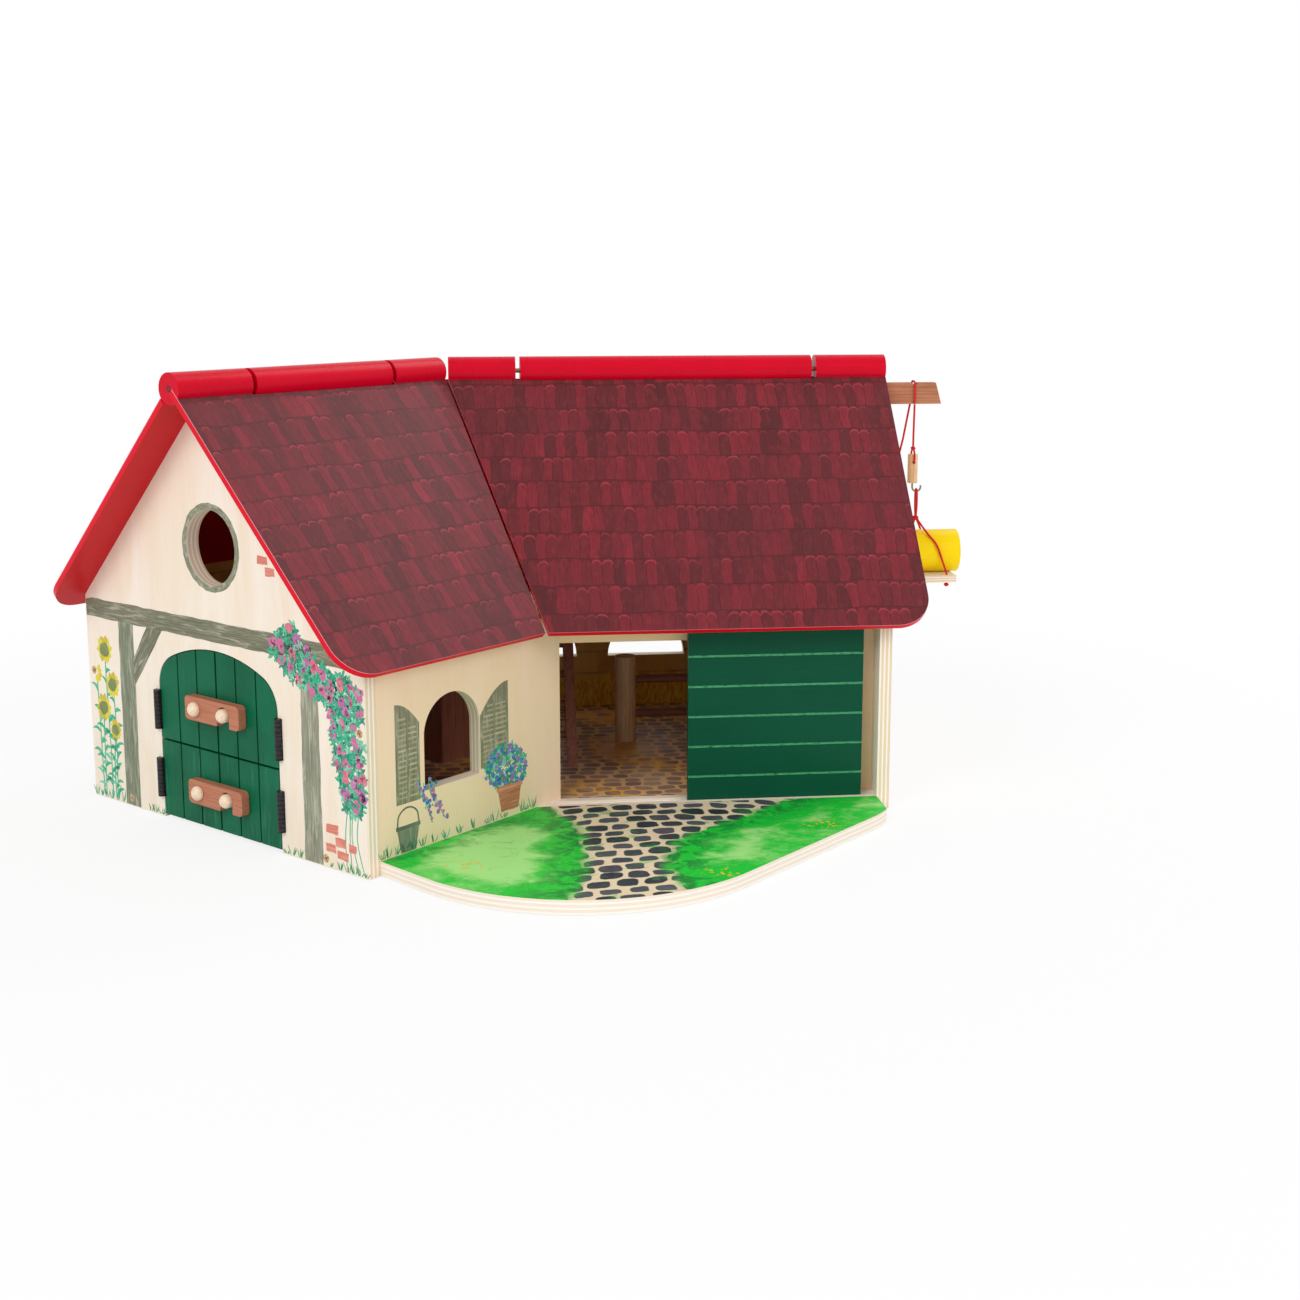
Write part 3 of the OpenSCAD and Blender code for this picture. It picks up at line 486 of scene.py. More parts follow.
def plywood_colour(f, thick_axis, thick_direction, start, thickness, grain_axis, turned, painted_shade=0.0):
    """Bare birch plywood: fine grain on its faces and its layers on its edges."""
    place = f.place(turned)
    level = [place[i] for i in range(3) if i not in (thick_axis, grain_axis)][0]
    run = place[grain_axis]
    depth = (place[thick_axis] - start) / thickness
    figure = f.noise((level * 0.055, run * 0.008, depth), 3.0, 0.55, 0.6)
    streak = f.noise((level * 1.3, run * 0.03, 0.0), 3.0, 0.7)
    pores = f.noise((level * 2.6, run * 0.16, 3.0), 1.0)
    face = f.mix(figure.rise(0.3, 0.72), BIRCH_FACE, BIRCH_WARM)
    # Mixes a warmer, darker birch over the faces by the amount given: painted shade for boards that
    # stand in shade.
    if painted_shade:
        face = f.mix(painted_shade, face, paint(244, 204, 156))
    face = f.mix(streak.rise(0.48, 0.85) * 0.30, face, BIRCH_DARK)
    face = f.mix(pores.rise(0.62, 0.78) * 0.14, face, paint(190, 150, 108))
    wavy = depth + (f.noise((level * 0.05, run * 0.05, place[thick_axis] * 0.05)) - 0.5) * 0.05
    layer = wavy * 6
    parity = (layer / 2 - (layer / 2).floor()) > 0.5
    seam = abs(layer - layer.floor() - 0.5).rise(0.38, 0.47)
    fibre = f.noise((level * 1.1, run * 1.1, place[thick_axis] * 5.0), 2.0)
    edge = f.mix(parity, PLY_LIGHT, PLY_DARK)
    edge = f.mix(fibre.rise(0.4, 0.75) * 0.22, edge, paint(212, 178, 136))
    edge = f.mix(seam * 0.30, edge, paint(184, 146, 100))
    side = abs(f.facing(thick_direction)).fall(0.6, 0.8)
    relief = streak * 0.6 + pores * 0.4
    return f.mix(side, face, edge), side, relief, place


def birch(name, thick_axis, thick_direction, start, thickness, grain_axis, turned=False, painted_shade=0.0):
    f = Finish(name, Roughness=0.52, Specular_IOR_Level=0.25)
    colour, side, relief, _ = plywood_colour(f, thick_axis, thick_direction, start, thickness,
                                             grain_axis, turned, painted_shade)
    return f.done(colour, 0.48 + side * 0.2, relief, 0.05)


def inner_wall(name, thick_axis, inward, start, thickness, turned=False):
    """Birch outside, and inside a printed wall of pale blocks over straw."""
    f = Finish(name, Roughness=0.55, Specular_IOR_Level=0.25)
    colour, side, relief, place = plywood_colour(f, thick_axis, inward, start, thickness, 2, turned)
    level = place[1 - thick_axis]
    up = place[2]
    course = up / 17
    row = course.floor()
    block = f.chance((level / 26 + row * 0.37).floor(), row, 2.0)
    stone = f.mix(block, paint(206, 150, 70), paint(236, 184, 96))
    joint = abs(course - row - 0.5).rise(0.42, 0.48)
    stone = f.mix(joint * 0.6, stone, paint(146, 108, 62))
    wash = f.noise((level * 0.02, up * 0.03, 4.0), 3.0).rise(0.35, 0.7)
    stone = f.mix(wash * 0.5, stone, paint(248, 196, 104))
    straws = f.noise((level * 0.35, up * 0.09, 1.0), 4.0, 0.7, 1.5)
    straw = f.mix(straws.rise(0.35, 0.7), paint(220, 150, 30), paint(255, 214, 76))
    heap = (up + (f.noise((level * 0.03, 0.0, 0.0), 2.0) - 0.5) * 34).fall(30, 38)
    inside = f.facing(inward).rise(0.7, 0.9)
    return f.done(f.mix(inside, colour, f.mix(heap, stone, straw)), 0.5 + side * 0.15, relief, 0.05)


def stones(f, x, y, size, bend):
    """Rows of rounded cobbles: a mask of the stones and a random number for each."""
    x = x + (f.noise((x * 0.05, y * 0.05, 2.0), 1.0) - 0.5) * 7
    y = y + (f.noise((x * 0.05, y * 0.05, 7.0), 1.0) - 0.5) * 7 + bend
    row = (y / size[1]).floor()
    run = x / size[0] + f.chance(row, 3.0, 0.0) * 0.9
    number = run.floor()
    random_one = f.chance(number, row, 5.0)
    random_two = f.chance(number, row, 9.0)
    p = abs(run - number - 0.5 + (random_one - 0.5) * 0.12)
    q = abs(y / size[1] - row - 0.5 + (random_two - 0.5) * 0.12)
    rough = f.noise((x * 0.35, y * 0.35, 1.0), 2.0) - 0.5
    reach = ((p * 1.04) ** 3.2 + q ** 3.2) ** (1 / 3.2) + rough * 0.10 + (random_one - 0.5) * 0.07
    return reach.fall(0.385, 0.425), random_one, random_two


PATH_START = -165
PATH_SPAN = 170
PATH_WIDEST = 200
PATH_LEFT = [(-165, 8), (-150, 16), (-119, 24), (-89, 24), (-58, 25), (-32, 21), (1, 6), (5, 4)]
PATH_RIGHT = [(-165, 74), (-157, 73), (-135, 70), (-107, 70), (-77, 78), (-60, 92), (-40, 120),
              (-24, 137), (-8, 152), (5, 170)]


def border(f, y, points):
    """The x of a path border at y."""
    stops = [((v - PATH_START) / PATH_SPAN, (u / PATH_WIDEST,) * 3 + (1.0,)) for v, u in points]
    return f.ramp((y - PATH_START) / PATH_SPAN, stops) * PATH_WIDEST


FLOWER_PATCHES = [(-44, -106), (101, -130), (172, -52)]


def lawn_colour(f, x, y, off_path, across, fine):
    """Painted grass: vivid by the path, the wall and the rim, pale between, with a few yellow dabs."""
    wide = f.noise((x * 0.022, y * 0.030, 0.0), 3.0, 0.55, 0.8)
    tufts = f.noise((x * 0.45, y * 0.30, 8.0), 3.0, 0.7)
    dabs = f.noise((x * 0.06, y * 0.08, 12.0), 4.0, 0.65, 1.0)
    from_round = ((x - 27) * (x - 27) + (y + 45) * (y + 45)).root()
    by_wall = (0 - across).fall(2, 26)
    vivid = off_path.fall(8, 52) + from_round.rise(92, 121) * 0.8 + by_wall * 0.8
    vivid = (vivid + (wide - 0.5) * 1.8 + (fine - 0.5) * 0.8).rise(0.25, 0.95)
    lawn = f.mix(vivid, paint(166, 232, 136), paint(24, 200, 56))
    lawn = f.mix(off_path.fall(4, 38) * dabs.rise(0.44, 0.58) * 0.85, lawn, paint(14, 118, 52))
    lawn = f.mix(by_wall * dabs.rise(0.40, 0.60) * 0.8, lawn, paint(16, 128, 60))
    lawn = f.mix(dabs.rise(0.58, 0.70) * 0.45, lawn, paint(40, 160, 60))
    lawn = f.mix(tufts.rise(0.5, 0.8) * 0.2, lawn, paint(206, 240, 160))
    petals = f.node("ShaderNodeTexVoronoi", {"feature": "F1"},
                    {"Vector": f.spot(x, y, 0.0), "Scale": 0.24, "Randomness": 0.9})
    near = 0.0
    for u, v in FLOWER_PATCHES:
        near = near + ((x - u) * (x - u) * 0.4 + (y - v) * (y - v)).root().fall(5, 11)
    blossom = petals.of("Distance").fall(0.26, 0.36) * near
    return f.mix(blossom * 0.9, lawn, paint(232, 190, 36))


def base_print():
    f = Finish("base_print", Roughness=0.42, Specular_IOR_Level=0.25)
    wood, side, relief, (x, y, z) = plywood_colour(f, 2, (0, 0, 1), 0.0, WALL_T, 0, False)
    wood = f.mix(side * 0.45, wood, paint(250, 246, 240))
    across = (y - x) * SIN_TURN

    fine = f.noise((x * 0.12, y * 0.16, 4.0), 4.0, 0.65, 0.6)
    sway = (f.noise((x * 0.04, y * 0.06, 31.0), 3.0, 0.6) - 0.5) * 22
    from_left = x + sway - border(f, y, PATH_LEFT)
    from_right = border(f, y, PATH_RIGHT) - x - sway
    off_path = f.node("ShaderNodeMath", {"operation": "MAXIMUM"},
                      {0: 0 - from_left, 1: 0 - from_right})
    lawn = lawn_colour(f, x, y, off_path, across, fine)

    mask, one, two = stones(f, x, y, (15.5, 12.2), (x - 75) * (x - 75) * 0.0022)
    stone = f.mix(one, paint(36, 46, 52), paint(80, 90, 94))
    stone = f.mix(two.rise(0.72, 0.9) * 0.5, stone, paint(96, 88, 104))
    stone = f.mix(fine.rise(0.5, 0.7) * 0.35, stone, paint(112, 118, 112))
    joint = f.mix(fine, paint(246, 230, 200), paint(226, 202, 164))
    cobbles = f.mix(mask, joint, stone)
    path = from_left.rise(-5, 5) * from_right.rise(-5, 5)
    moss = f.noise((x * 0.05, y * 0.08, 41.0), 4.0, 0.6, 0.5).rise(0.54, 0.70) * mask.fall(0.0, 1.6)
    ground = f.mix(path * (1 - moss * 0.75), lawn, cobbles)

    mask_in, one_in, _ = stones(f, x, y, (13.5, 9.5), 0.0)
    sand = f.noise((x * 0.02, y * 0.02, 51.0), 3.0, 0.5, 0.5)
    floor_joint = f.mix(sand.rise(0.35, 0.65), paint(232, 190, 136), paint(248, 184, 84))
    floor_stone = f.mix(one_in, paint(140, 108, 98), paint(196, 158, 128))
    floor = f.mix(mask_in * (1 - sand.rise(0.52, 0.68) * 0.7), floor_joint, floor_stone)

    yard = (y < 0.0) * (across < 0.0)
    inside = 1 - (y < 16.0) * (x > -2.0) * (y > -0.5)
    top = f.mix(yard, f.mix(inside, wood, floor), ground)
    printed = f.facing((0, 0, 1)).rise(0.7, 0.9) * (z > 8.2)
    return f.done(f.mix(printed, wood, top), 0.40 + side * 0.25 + printed * fine * 0.1, relief, 0.04)


SLOPES = {"roof_left_yard": (True, -1), "roof_left_outer": (True, 1),
          "roof_right_yard": (False, -1), "roof_right_back": (False, 1)}


def shingles(name, turned, side):
    """Roof panel: painted shingles on top, bright red edges with a painted highlight along their top
    arris, and a plain red underside.
    """
    f = Finish(name, Roughness=0.4, Specular_IOR_Level=0.16)
    along, across, up = f.place(turned)
    out, rise = (across - RIDGE_Y) * side, RIDGE_Z - up
    down = out * math.cos(PITCH) + rise * math.sin(PITCH)
    wobble = (f.noise((along * 0.035, down * 0.05, 3.0), 2.0) - 0.5) * 6
    drift = (f.noise((along * 0.06, down * 0.08, 9.0), 1.0) - 0.5) * 5
    deep = (down + wobble + 6) / (18.6 if turned else 20.4)
    row = deep.floor()
    part = deep - row
    run = (along + drift) / 6.8 + f.chance(row, 1.0, 0.0) * 3
    number = run.floor()
    one, two, three = (f.chance(number, row, seed) for seed in (4.0, 8.0, 12.0))
    to_side = abs(run - number - 0.5) * 2
    below = part - to_side ** 3 * 0.13 - three * 0.05
    spell = f.noise((along * 0.03, row * 0.7, 2.0), 2.0)
    wash = f.noise((along * 0.25, down * 0.12, 5.0), 3.0, 0.6)
    colour = f.ramp(one * 0.7 + spell * 0.7 - 0.18, [
        (0.0, paint(80, 32, 34)), (0.28, paint(96, 36, 40)), (0.5, paint(112, 38, 44)),
        (0.78, paint(128, 38, 48)), (1.0, paint(146, 42, 54))])
    for pitch, slant, strength in ((0.9, 0.03, 0.55), (1.7, 0.05, 0.4)):
        hairs = f.noise((along * pitch, down * slant, row * 3 + pitch), 2.0, 0.6)
        colour = f.mix(abs(hairs - 0.5).fall(0.004, 0.035) * strength, colour, paint(72, 28, 32))
    colour = f.mix(wash.rise(0.45, 0.8) * 0.35, colour, paint(146, 56, 60))
    seam = to_side.rise(0.84, 0.97)
    colour = f.mix(seam * (0.2 + two * 0.5), colour, paint(68, 26, 30))
    rim = below.rise(0.0, 0.03) * below.fall(0.05, 0.11) * two.rise(0.35, 1.0) * 0.6
    colour = f.mix(rim, colour, paint(174, 62, 74))
    colour = f.mix(below.fall(-0.01, 0.02) * 0.55, colour, paint(84, 30, 34))
    foot = part.rise(0.95, 0.985)
    colour = f.mix(foot * 0.65, colour, paint(66, 26, 30))
    fade = f.noise((along * 0.012, down * 0.012, 6.0), 2.0).rise(0.35, 0.7)
    colour = f.mix(fade * 0.22, colour, paint(98, 44, 50))

    sideways = across_left() if turned else (0.0, 1.0, 0.0)
    facing = f.facing((sideways[0] * side * math.sin(PITCH), sideways[1] * side * math.sin(PITCH),
                       math.cos(PITCH)))
    top = facing.rise(0.6, 0.8)
    under = facing.fall(-0.8, -0.6)
    height = out * math.sin(PITCH) - rise * math.cos(PITCH)
    paint_grain = f.noise((along * 0.5, down * 0.5, height), 3.0)
    edge = f.mix(paint_grain, paint(214, 0, 30), paint(228, 0, 38))
    # A pale pink line along the top arris of each edge: a painted highlight where a rounded edge would
    # catch the light.
    edge = f.mix(height.rise(1.45, 1.65) * 0.75, edge, paint(252, 168, 180))
    lining = f.mix(f.noise((along * 0.05, down * 0.6, 1.0), 3.0), paint(192, 14, 30),
                   paint(212, 26, 38))
    colour = f.mix(under, f.mix(top, edge, colour), lining)
    relief = f.noise((along * 0.9, down * 0.3, 2.0), 3.0) * 0.5
    relief = relief + (1 - seam) * top * 0.3 + (1 - foot) * top * 0.3
    return f.done(colour, 0.30 + top * 0.14 + wash * 0.06, relief, 0.04)


def roll_paint():
    """Gloss red paint of the ridge rolls, thin over the grain."""
    f = Finish("roll_red_gloss", Roughness=0.28, Specular_IOR_Level=0.12)
    x, y, z = f.place()
    cloud = f.noise((x * 0.05, y * 0.05, z * 0.05), 3.0)
    grain = f.noise((x * 0.25, y * 0.25, z * 1.2), 3.0, 0.6)
    colour = f.mix(cloud, paint(200, 0, 32), paint(216, 0, 40))
    colour = f.mix(grain.rise(0.55, 0.8) * 0.18, colour, paint(168, 0, 30))
    return f.done(colour, 0.22 + cloud * 0.12, grain, 0.05)


def leaf_paint():
    """Green paint of the stable doors: satin, with the grain showing, dark plank grooves and, low down,
    pale streaks that are a painted reflection of the floor.
    """
    f = Finish("stable_door_green", Roughness=0.3, Specular_IOR_Level=0.12)
    along, across, up = f.place(True)
    grain = f.noise((across * 1.6, up * 0.05, along * 0.4), 4.0, 0.65)
    cloud = f.noise((across * 0.03, up * 0.03, along * 0.03), 2.0)
    colour = f.mix(cloud.rise(0.3, 0.7), paint(0, 92, 60), paint(6, 106, 72))
    colour = f.mix(grain.rise(0.5, 0.78) * 0.35, colour, paint(0, 70, 46))
    # Pale green streaks on the lower part of the doors only: a painted reflection of the pale floor.
    floor_reflection_streaks = f.noise((across * 0.5, up * 0.03, along * 0.3), 3.0, 0.7)
    colour = f.mix(floor_reflection_streaks.rise(0.52, 0.72) * up.fall(40, 62) * 0.5, colour, paint(62, 136, 108))
    groove = (along - GABLE).rise(0.45, 0.8) * (along - GABLE).fall(1.0, 1.3)
    colour = f.mix(groove * 0.75 * abs(f.facing(along_left())).rise(0.6, 0.9), colour, paint(0, 40, 28))
    return f.done(colour, 0.30 + grain * 0.16, grain, 0.07)


def slide_paint():
    """Darker green sliding door with pale brushed lines in its grooves."""
    f = Finish("sliding_door_green", Roughness=0.45, Specular_IOR_Level=0.12)
    x, y, z = f.place()
    grain = f.noise((x * 0.05, y, z * 1.3), 4.0, 0.6)
    cloud = f.noise((x * 0.02, y, z * 0.03), 2.0)
    colour = f.mix(cloud, paint(0, 70, 48), paint(8, 82, 58))
    colour = f.mix(grain.rise(0.5, 0.8) * 0.4, colour, paint(4, 56, 40))
    bristle = f.noise((x * 0.22, z * 2.2, 4.0), 3.0, 0.7)
    line = y.rise(4.3, 4.6) * y.fall(4.85, 5.0) * bristle.rise(0.34, 0.50)
    colour = f.mix(line * 0.9, colour, paint(88, 178, 124))
    return f.done(colour, 0.36 + grain * 0.16, grain, 0.05)


def stained(name, light, dark, run):
    """Brown stained wood; run is how fast the grain changes along each axis, and the wing."""
    f = Finish(name, Roughness=0.5, Specular_IOR_Level=0.3)
    x, y, z = f.place(run[3])
    streak = f.noise((x * run[0], y * run[1], z * run[2]), 4.0, 0.62, 0.3)
    cloud = f.noise((x * 0.03, y * 0.03, z * 0.03), 2.0)
    pores = f.noise((x * run[0] * 2.2, y * run[1] * 2.2, z * run[2] * 2.2 + 7), 1.0)
    colour = f.mix(streak.rise(0.3, 0.75), light, dark)
    colour = f.mix(cloud.rise(0.4, 0.7) * 0.25, colour, light)
    colour = f.mix(pores.rise(0.6, 0.75) * 0.2, colour, dark)
    return f.done(colour, 0.42 + streak * 0.2, streak, 0.06)


def beech(name, light, dark, run):
    """Pale turned wood with short flecks; run is as for the stained wood."""
    f = Finish(name, Roughness=0.42, Specular_IOR_Level=0.45, Coat_Weight=0.1)
    x, y, z = f.place(run[3])
    streak = f.noise((x * run[0], y * run[1], z * run[2]), 3.0, 0.6)
    flecks = f.noise((x * run[0] * 3, y * run[1] * 3, z * run[2] * 3 + 5), 2.0)
    colour = f.mix(streak.rise(0.3, 0.75), light, dark)
    colour = f.mix(flecks.rise(0.58, 0.72) * 0.25, colour, paint(206, 160, 112))
    return f.done(colour, 0.38 + flecks * 0.15, streak, 0.03)


def hinge_black():
    f = Finish("hinge_black_metal", Metallic=0.6, Roughness=0.4)
    x, y, z = f.place()
    speck = f.noise((x * 1.5, y * 1.5, z * 1.5), 3.0)
    lines = abs((z * 0.36) % 1.0 - 0.5).rise(0.36, 0.46)
    colour = f.mix(speck.rise(0.4, 0.7), paint(40, 38, 41), paint(62, 58, 60))
    colour = f.mix(lines * 0.8, colour, paint(14, 13, 15))
    return f.done(colour, 0.32 + speck * 0.2, 1 - lines + speck * 0.2, 0.25)


def bright_steel():
    f = Finish("screw_and_pin_steel", Metallic=1.0, Roughness=0.3)
    x, y, z = f.place()
    brushed = f.noise((x * 3, y * 3, z * 3), 3.0)
    colour = f.mix(brushed, paint(126, 104, 76), paint(182, 160, 126))
    return f.done(colour, 0.3 + brushed * 0.25, brushed, 0.02)


def pin_in_painted_hole_shade():
    """A flat dark ring painted as the shade of a drilled hole, with the worn end of a steel pin in it.
    """
    f = Finish("roll_pin_and_painted_hole_shade", Roughness=0.5, Metallic=0.3)
    along, across, up = f.place(True)
    out = ((across - RIDGE_Y) * (across - RIDGE_Y) + (up - RIDGE_Z) * (up - RIDGE_Z)).root()
    wear = f.noise((across * 1.2, up * 1.2, along), 3.0)
    # The dark ring round the pin end is painted shade standing in for the hole.
    rim = f.mix(wear, paint(70, 20, 26), paint(40, 16, 20))
    end = f.mix(wear, paint(120, 60, 60), paint(88, 50, 50))
    return f.done(f.mix(out.fall(0.8, 1.05), rim, end), 0.5, wear, 0.03)


def screw_bronze():
    """Yellow-passivated screws, darker in places."""
    f = Finish("screw_bronze", Metallic=0.6, Roughness=0.35)
    x, y, z = f.place()
    stain = f.noise((x * 0.9, y * 0.9, z * 0.9), 3.0)
    colour = f.mix(stain.rise(0.35, 0.65), paint(232, 204, 160), paint(168, 126, 84))
    return f.done(colour, 0.28 + stain * 0.25, stain, 0.03)


def bale_paint():
    f = Finish("bale_yellow_paint", Roughness=0.3, Specular_IOR_Level=0.15)
    x, y, z = f.place()
    cloud = f.noise((x * 0.06, y * 0.06, z * 0.06), 2.0)
    grain = f.noise((x * 0.08, y * 1.0, z * 1.0), 3.0)
    colour = f.mix(cloud, paint(255, 216, 0), paint(255, 230, 4))
    colour = f.mix(grain.rise(0.55, 0.8) * 0.2, colour, paint(226, 170, 0))
    return f.done(colour, 0.24 + cloud * 0.14, grain, 0.05)


def cord_weave():
    """Twisted red cord: slanting strands, each lighter along its middle and darker at its edges as
    painted shade between the strands.
    """
    f = Finish("red_twisted_cord", Roughness=0.8, Sheen_Weight=0.1, Specular_IOR_Level=0.15)
    x, y, z = f.place()
    twist = ((z + (x + y) * 0.8) * 1.1) % 1.0
    strand_edge_shade = abs(twist - 0.5) * 2
    fuzz = f.noise((x * 6, y * 6, z * 6), 2.0)
    # Darker red towards the edge of each strand: painted shade in the grooves between strands.
    colour = f.mix(strand_edge_shade, paint(246, 40, 36), paint(196, 14, 24))
    colour = f.mix(fuzz * 0.2, colour, paint(252, 96, 88))
    return f.done(colour, 0.75 + fuzz * 0.15, 1 - strand_edge_shade, 0.25)


def dress(material, *nodes):
    """Gives solids of the part a finish."""
    for name in nodes:
        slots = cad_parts[name].material_slots
        if not slots:
            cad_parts[name].data.materials.append(material)
        for slot in slots:
            slot.material = material


def dress_solids():
    dress(birch("gable_birch", 0, along_left(), GABLE, 9.0, 2, True), "gable_wall")
    # The last number given to birch is how much warmer, darker birch is painted over it as shade.
    dress(birch("yard_wall_birch", 1, across_left(), 0.0, WALL_T, 2, True, 0.6), "yard_wall")
    outer = inner_wall("outer_wall_print", 1, across_left(-1.0), WALL_BACK, WALL_T, True)
    dress(outer, "outer_wall")
    dress(inner_wall("back_wall_print", 1, (0, -1, 0), WALL_BACK, WALL_T), "back_wall")
    dress(birch("end_wall_birch", 0, (1, 0, 0), 218.0, 8.0, 2), "end_wall")
    # The front panel behind the sliding door and the door rail get the same warmer, darker birch as
    # painted shade.
    dress(birch("front_panel_birch", 1, (0, 1, 0), 16.0, WALL_T, 2, False, 0.85), "front_panel")
    dress(birch("rail_birch", 1, (0, 1, 0), 0.0, 16.0, 0, False, 0.2), "door_rail")
    dress(birch("loft_birch", 2, (0, 0, 1), 104.0, 6.0, 0), "loft_floor")
    dress(birch("platform_birch", 2, (0, 0, 1), 126.0, 5.0, 0), "platform")
    dress(base_print(), "base_plate")
    for name, (turned, side) in SLOPES.items():
        dress(shingles(name + "_print", turned, side), name)
    dress(roll_paint(), "left_end_rolls", "left_middle_roll", "right_end_rolls", "right_middle_roll")
    dress(leaf_paint(), "leaf_upper_left", "leaf_upper_right", "leaf_lower_left", "leaf_lower_right")
    dress(slide_paint(), "sliding_door")
    fine, long = 0.8, 0.03
    for name, light, dark, run, *nodes in (
            ("latch_bar_stain", paint(198, 130, 100), paint(166, 98, 72), (fine, long, fine, True),
             "latch_bar_upper", "latch_bar_lower"),
            # Parts inside the barn take darker stains than the latch bars and the hoist beam outside;
            # the darkening is painted shade for the inside of the barn.
            ("stall_board_stain", paint(168, 104, 82), paint(132, 76, 60), (0.5, 0.5, long, True),
             "partition_cross", "partition_long", "ladder_stiles"),
            ("rung_and_rail_stain", paint(150, 94, 72), paint(108, 64, 50),
             (long, fine, fine, False), "ladder_rungs", "stall_rails"),
            ("hoist_beam_stain", paint(188, 124, 90), paint(150, 92, 64),
             (long, fine, fine, False), "hoist_beam")):
        dress(stained(name, light, dark, run), *nodes)
    for name, light, dark, run, *nodes in (
            ("peg_beech", paint(252, 234, 208), paint(236, 206, 170), (0.06, fine, fine, True),
             "pivot_peg_upper", "pivot_peg_lower", "catch_peg_upper", "catch_peg_lower"),
            ("post_beech", paint(226, 190, 148), paint(196, 154, 112), (fine, fine, 0.04, False),
             "stall_post"),
            ("toggle_beech", paint(238, 204, 156), paint(214, 168, 116),
             (fine, fine, 0.05, False), "toggle"),
            ("cleat_beech", paint(248, 226, 194), paint(228, 194, 152),
             (0.05, fine, fine, False), "cleat_peg")):
        dress(beech(name, light, dark, run), *nodes)
    dress(hinge_black(), "frame_hinge_halves", "hinge_half_upper_left", "hinge_half_upper_right",
          "hinge_half_lower_left", "hinge_half_lower_right")
    dress(bright_steel(), "hinge_pins", "ridge_pins", "load_hook")
    screw_piece.data.materials.append(screw_bronze())
    roll_pin.data.materials.append(pin_in_painted_hole_shade())
    dress(bale_paint(), "hay_bale")
    cord = cord_weave()
    for made in cord_pieces:
        made.data.materials.append(cord)


dress_solids()


# Painted pictures

def print_paint(name, washed=0.5, shade=0.55):
    """Thin hand-laid paint: strokes along each shape, with the wood showing through a little."""
    f = Finish(name, Roughness=0.5, Specular_IOR_Level=0.25)
    colour = f.node("ShaderNodeAttribute", {"attribute_name": "paint"})
    stroke = f.node("ShaderNodeAttribute", {"attribute_name": "stroke"}).of("Vector")
    split = f.node("ShaderNodeSeparateXYZ", {}, {0: stroke})
    run, level, seed = split.of("X"), split.of("Y"), split.of("Z")
    bristle = f.noise((run * 0.03, level * 1.3, seed), 5.0, 0.72, 0.3)
    hairs = f.noise((run * 0.09, level * 3.6, seed + 9), 2.0, 0.6)
    cloud = f.noise((run * 0.05, level * 0.35, seed + 5), 3.0, 0.6, 0.8)
    darker = f.mix(shade, colour, paint(40, 56, 40))
    lighter = f.mix(0.42, colour, paint(232, 230, 210))
    tone = f.mix(bristle.rise(0.44, 0.60) * washed, colour, darker)
    tone = f.mix(cloud.rise(0.48, 0.70) * washed, tone, lighter)
    tone = f.mix(hairs.rise(0.54, 0.66) * washed * 0.5, tone, lighter)
    return f.done(tone, 0.46 + bristle * 0.12, bristle, 0.02)


class Picture:
    """Painted shapes on one board, each a closed very thin plate; bare spots stay free."""

    def __init__(self, name, at, bare=()):
        self.name = name
        self.at = at
        self.bm = bmesh.new()
        self.colour = self.bm.verts.layers.float_color.new("paint")
        self.stroke = self.bm.verts.layers.float_vector.new("stroke")
        self.count = 0
        self.bare = bare

    def plate(self, outline, colour, layer, heading=0.0):
        """One shape; heading is the way its brush strokes run, in degrees from level."""
        self.count += 1
        if any(math.dist(spot, hole) < HEAD_R + 0.4 for spot in outline for hole in self.bare):
            return
        cos, sin = math.cos(math.radians(heading)), math.sin(math.radians(heading))
        rings = []
        for lift in (-0.03, 0.04 + 0.03 * layer):
            ring = []
            for a, z in outline:
                vert = self.bm.verts.new(self.at(a, z, lift))
                vert[self.colour] = colour
                vert[self.stroke] = (a * cos + z * sin, z * cos - a * sin, self.count * 1.7)
                ring.append(vert)
            rings.append(ring)
        back, front = rings
        self.bm.faces.new(front)
        self.bm.faces.new(list(reversed(back)))
        bridge(self.bm, rings)

    def ring(self, centre, inner, outer, colour, layer, parts, rng):
        """A painted ring, laid as a closed band of short plates."""
        wobble = [rng.uniform(-0.35, 0.35) for _ in range(parts)]
        for i in range(parts):
            spots = []
            for k, r in ((i, inner), (i + 1, inner), (i + 1, outer), (i, outer)):
                reach = r + (wobble[k % parts] if r == outer else 0.0)
                angle = 2 * math.pi * k / parts
                spots.append((centre[0] + reach * math.cos(angle), centre[1] + reach * math.sin(angle)))
            heading = math.degrees(2 * math.pi * (i + 0.5) / parts) + 90
            self.plate(spots, colour, layer, heading)

    def make(self, material):
        made = piece_from(self.bm, self.name, "barn")
        made.data.materials.append(material)


def rough_line(start, end, rng, step, sway):
    """Points from start to short of end, each a little off the straight line."""
    span = math.dist(start, end)
    parts = max(1, int(span / step))
    nx, ny = (start[1] - end[1]) / span, (end[0] - start[0]) / span
    line = []
    for i in range(parts):
        t = i / parts
        off = rng.uniform(-sway, sway) if i else 0.0
        line.append((start[0] + (end[0] - start[0]) * t + nx * off,
                     start[1] + (end[1] - start[1]) * t + ny * off))
    return line


def rough_outline(corners, rng, step, sway):
    outline = []
    for a, b in zip(corners, corners[1:] + corners[:1]):
        outline += rough_line(a, b, rng, step, sway)
    return outline


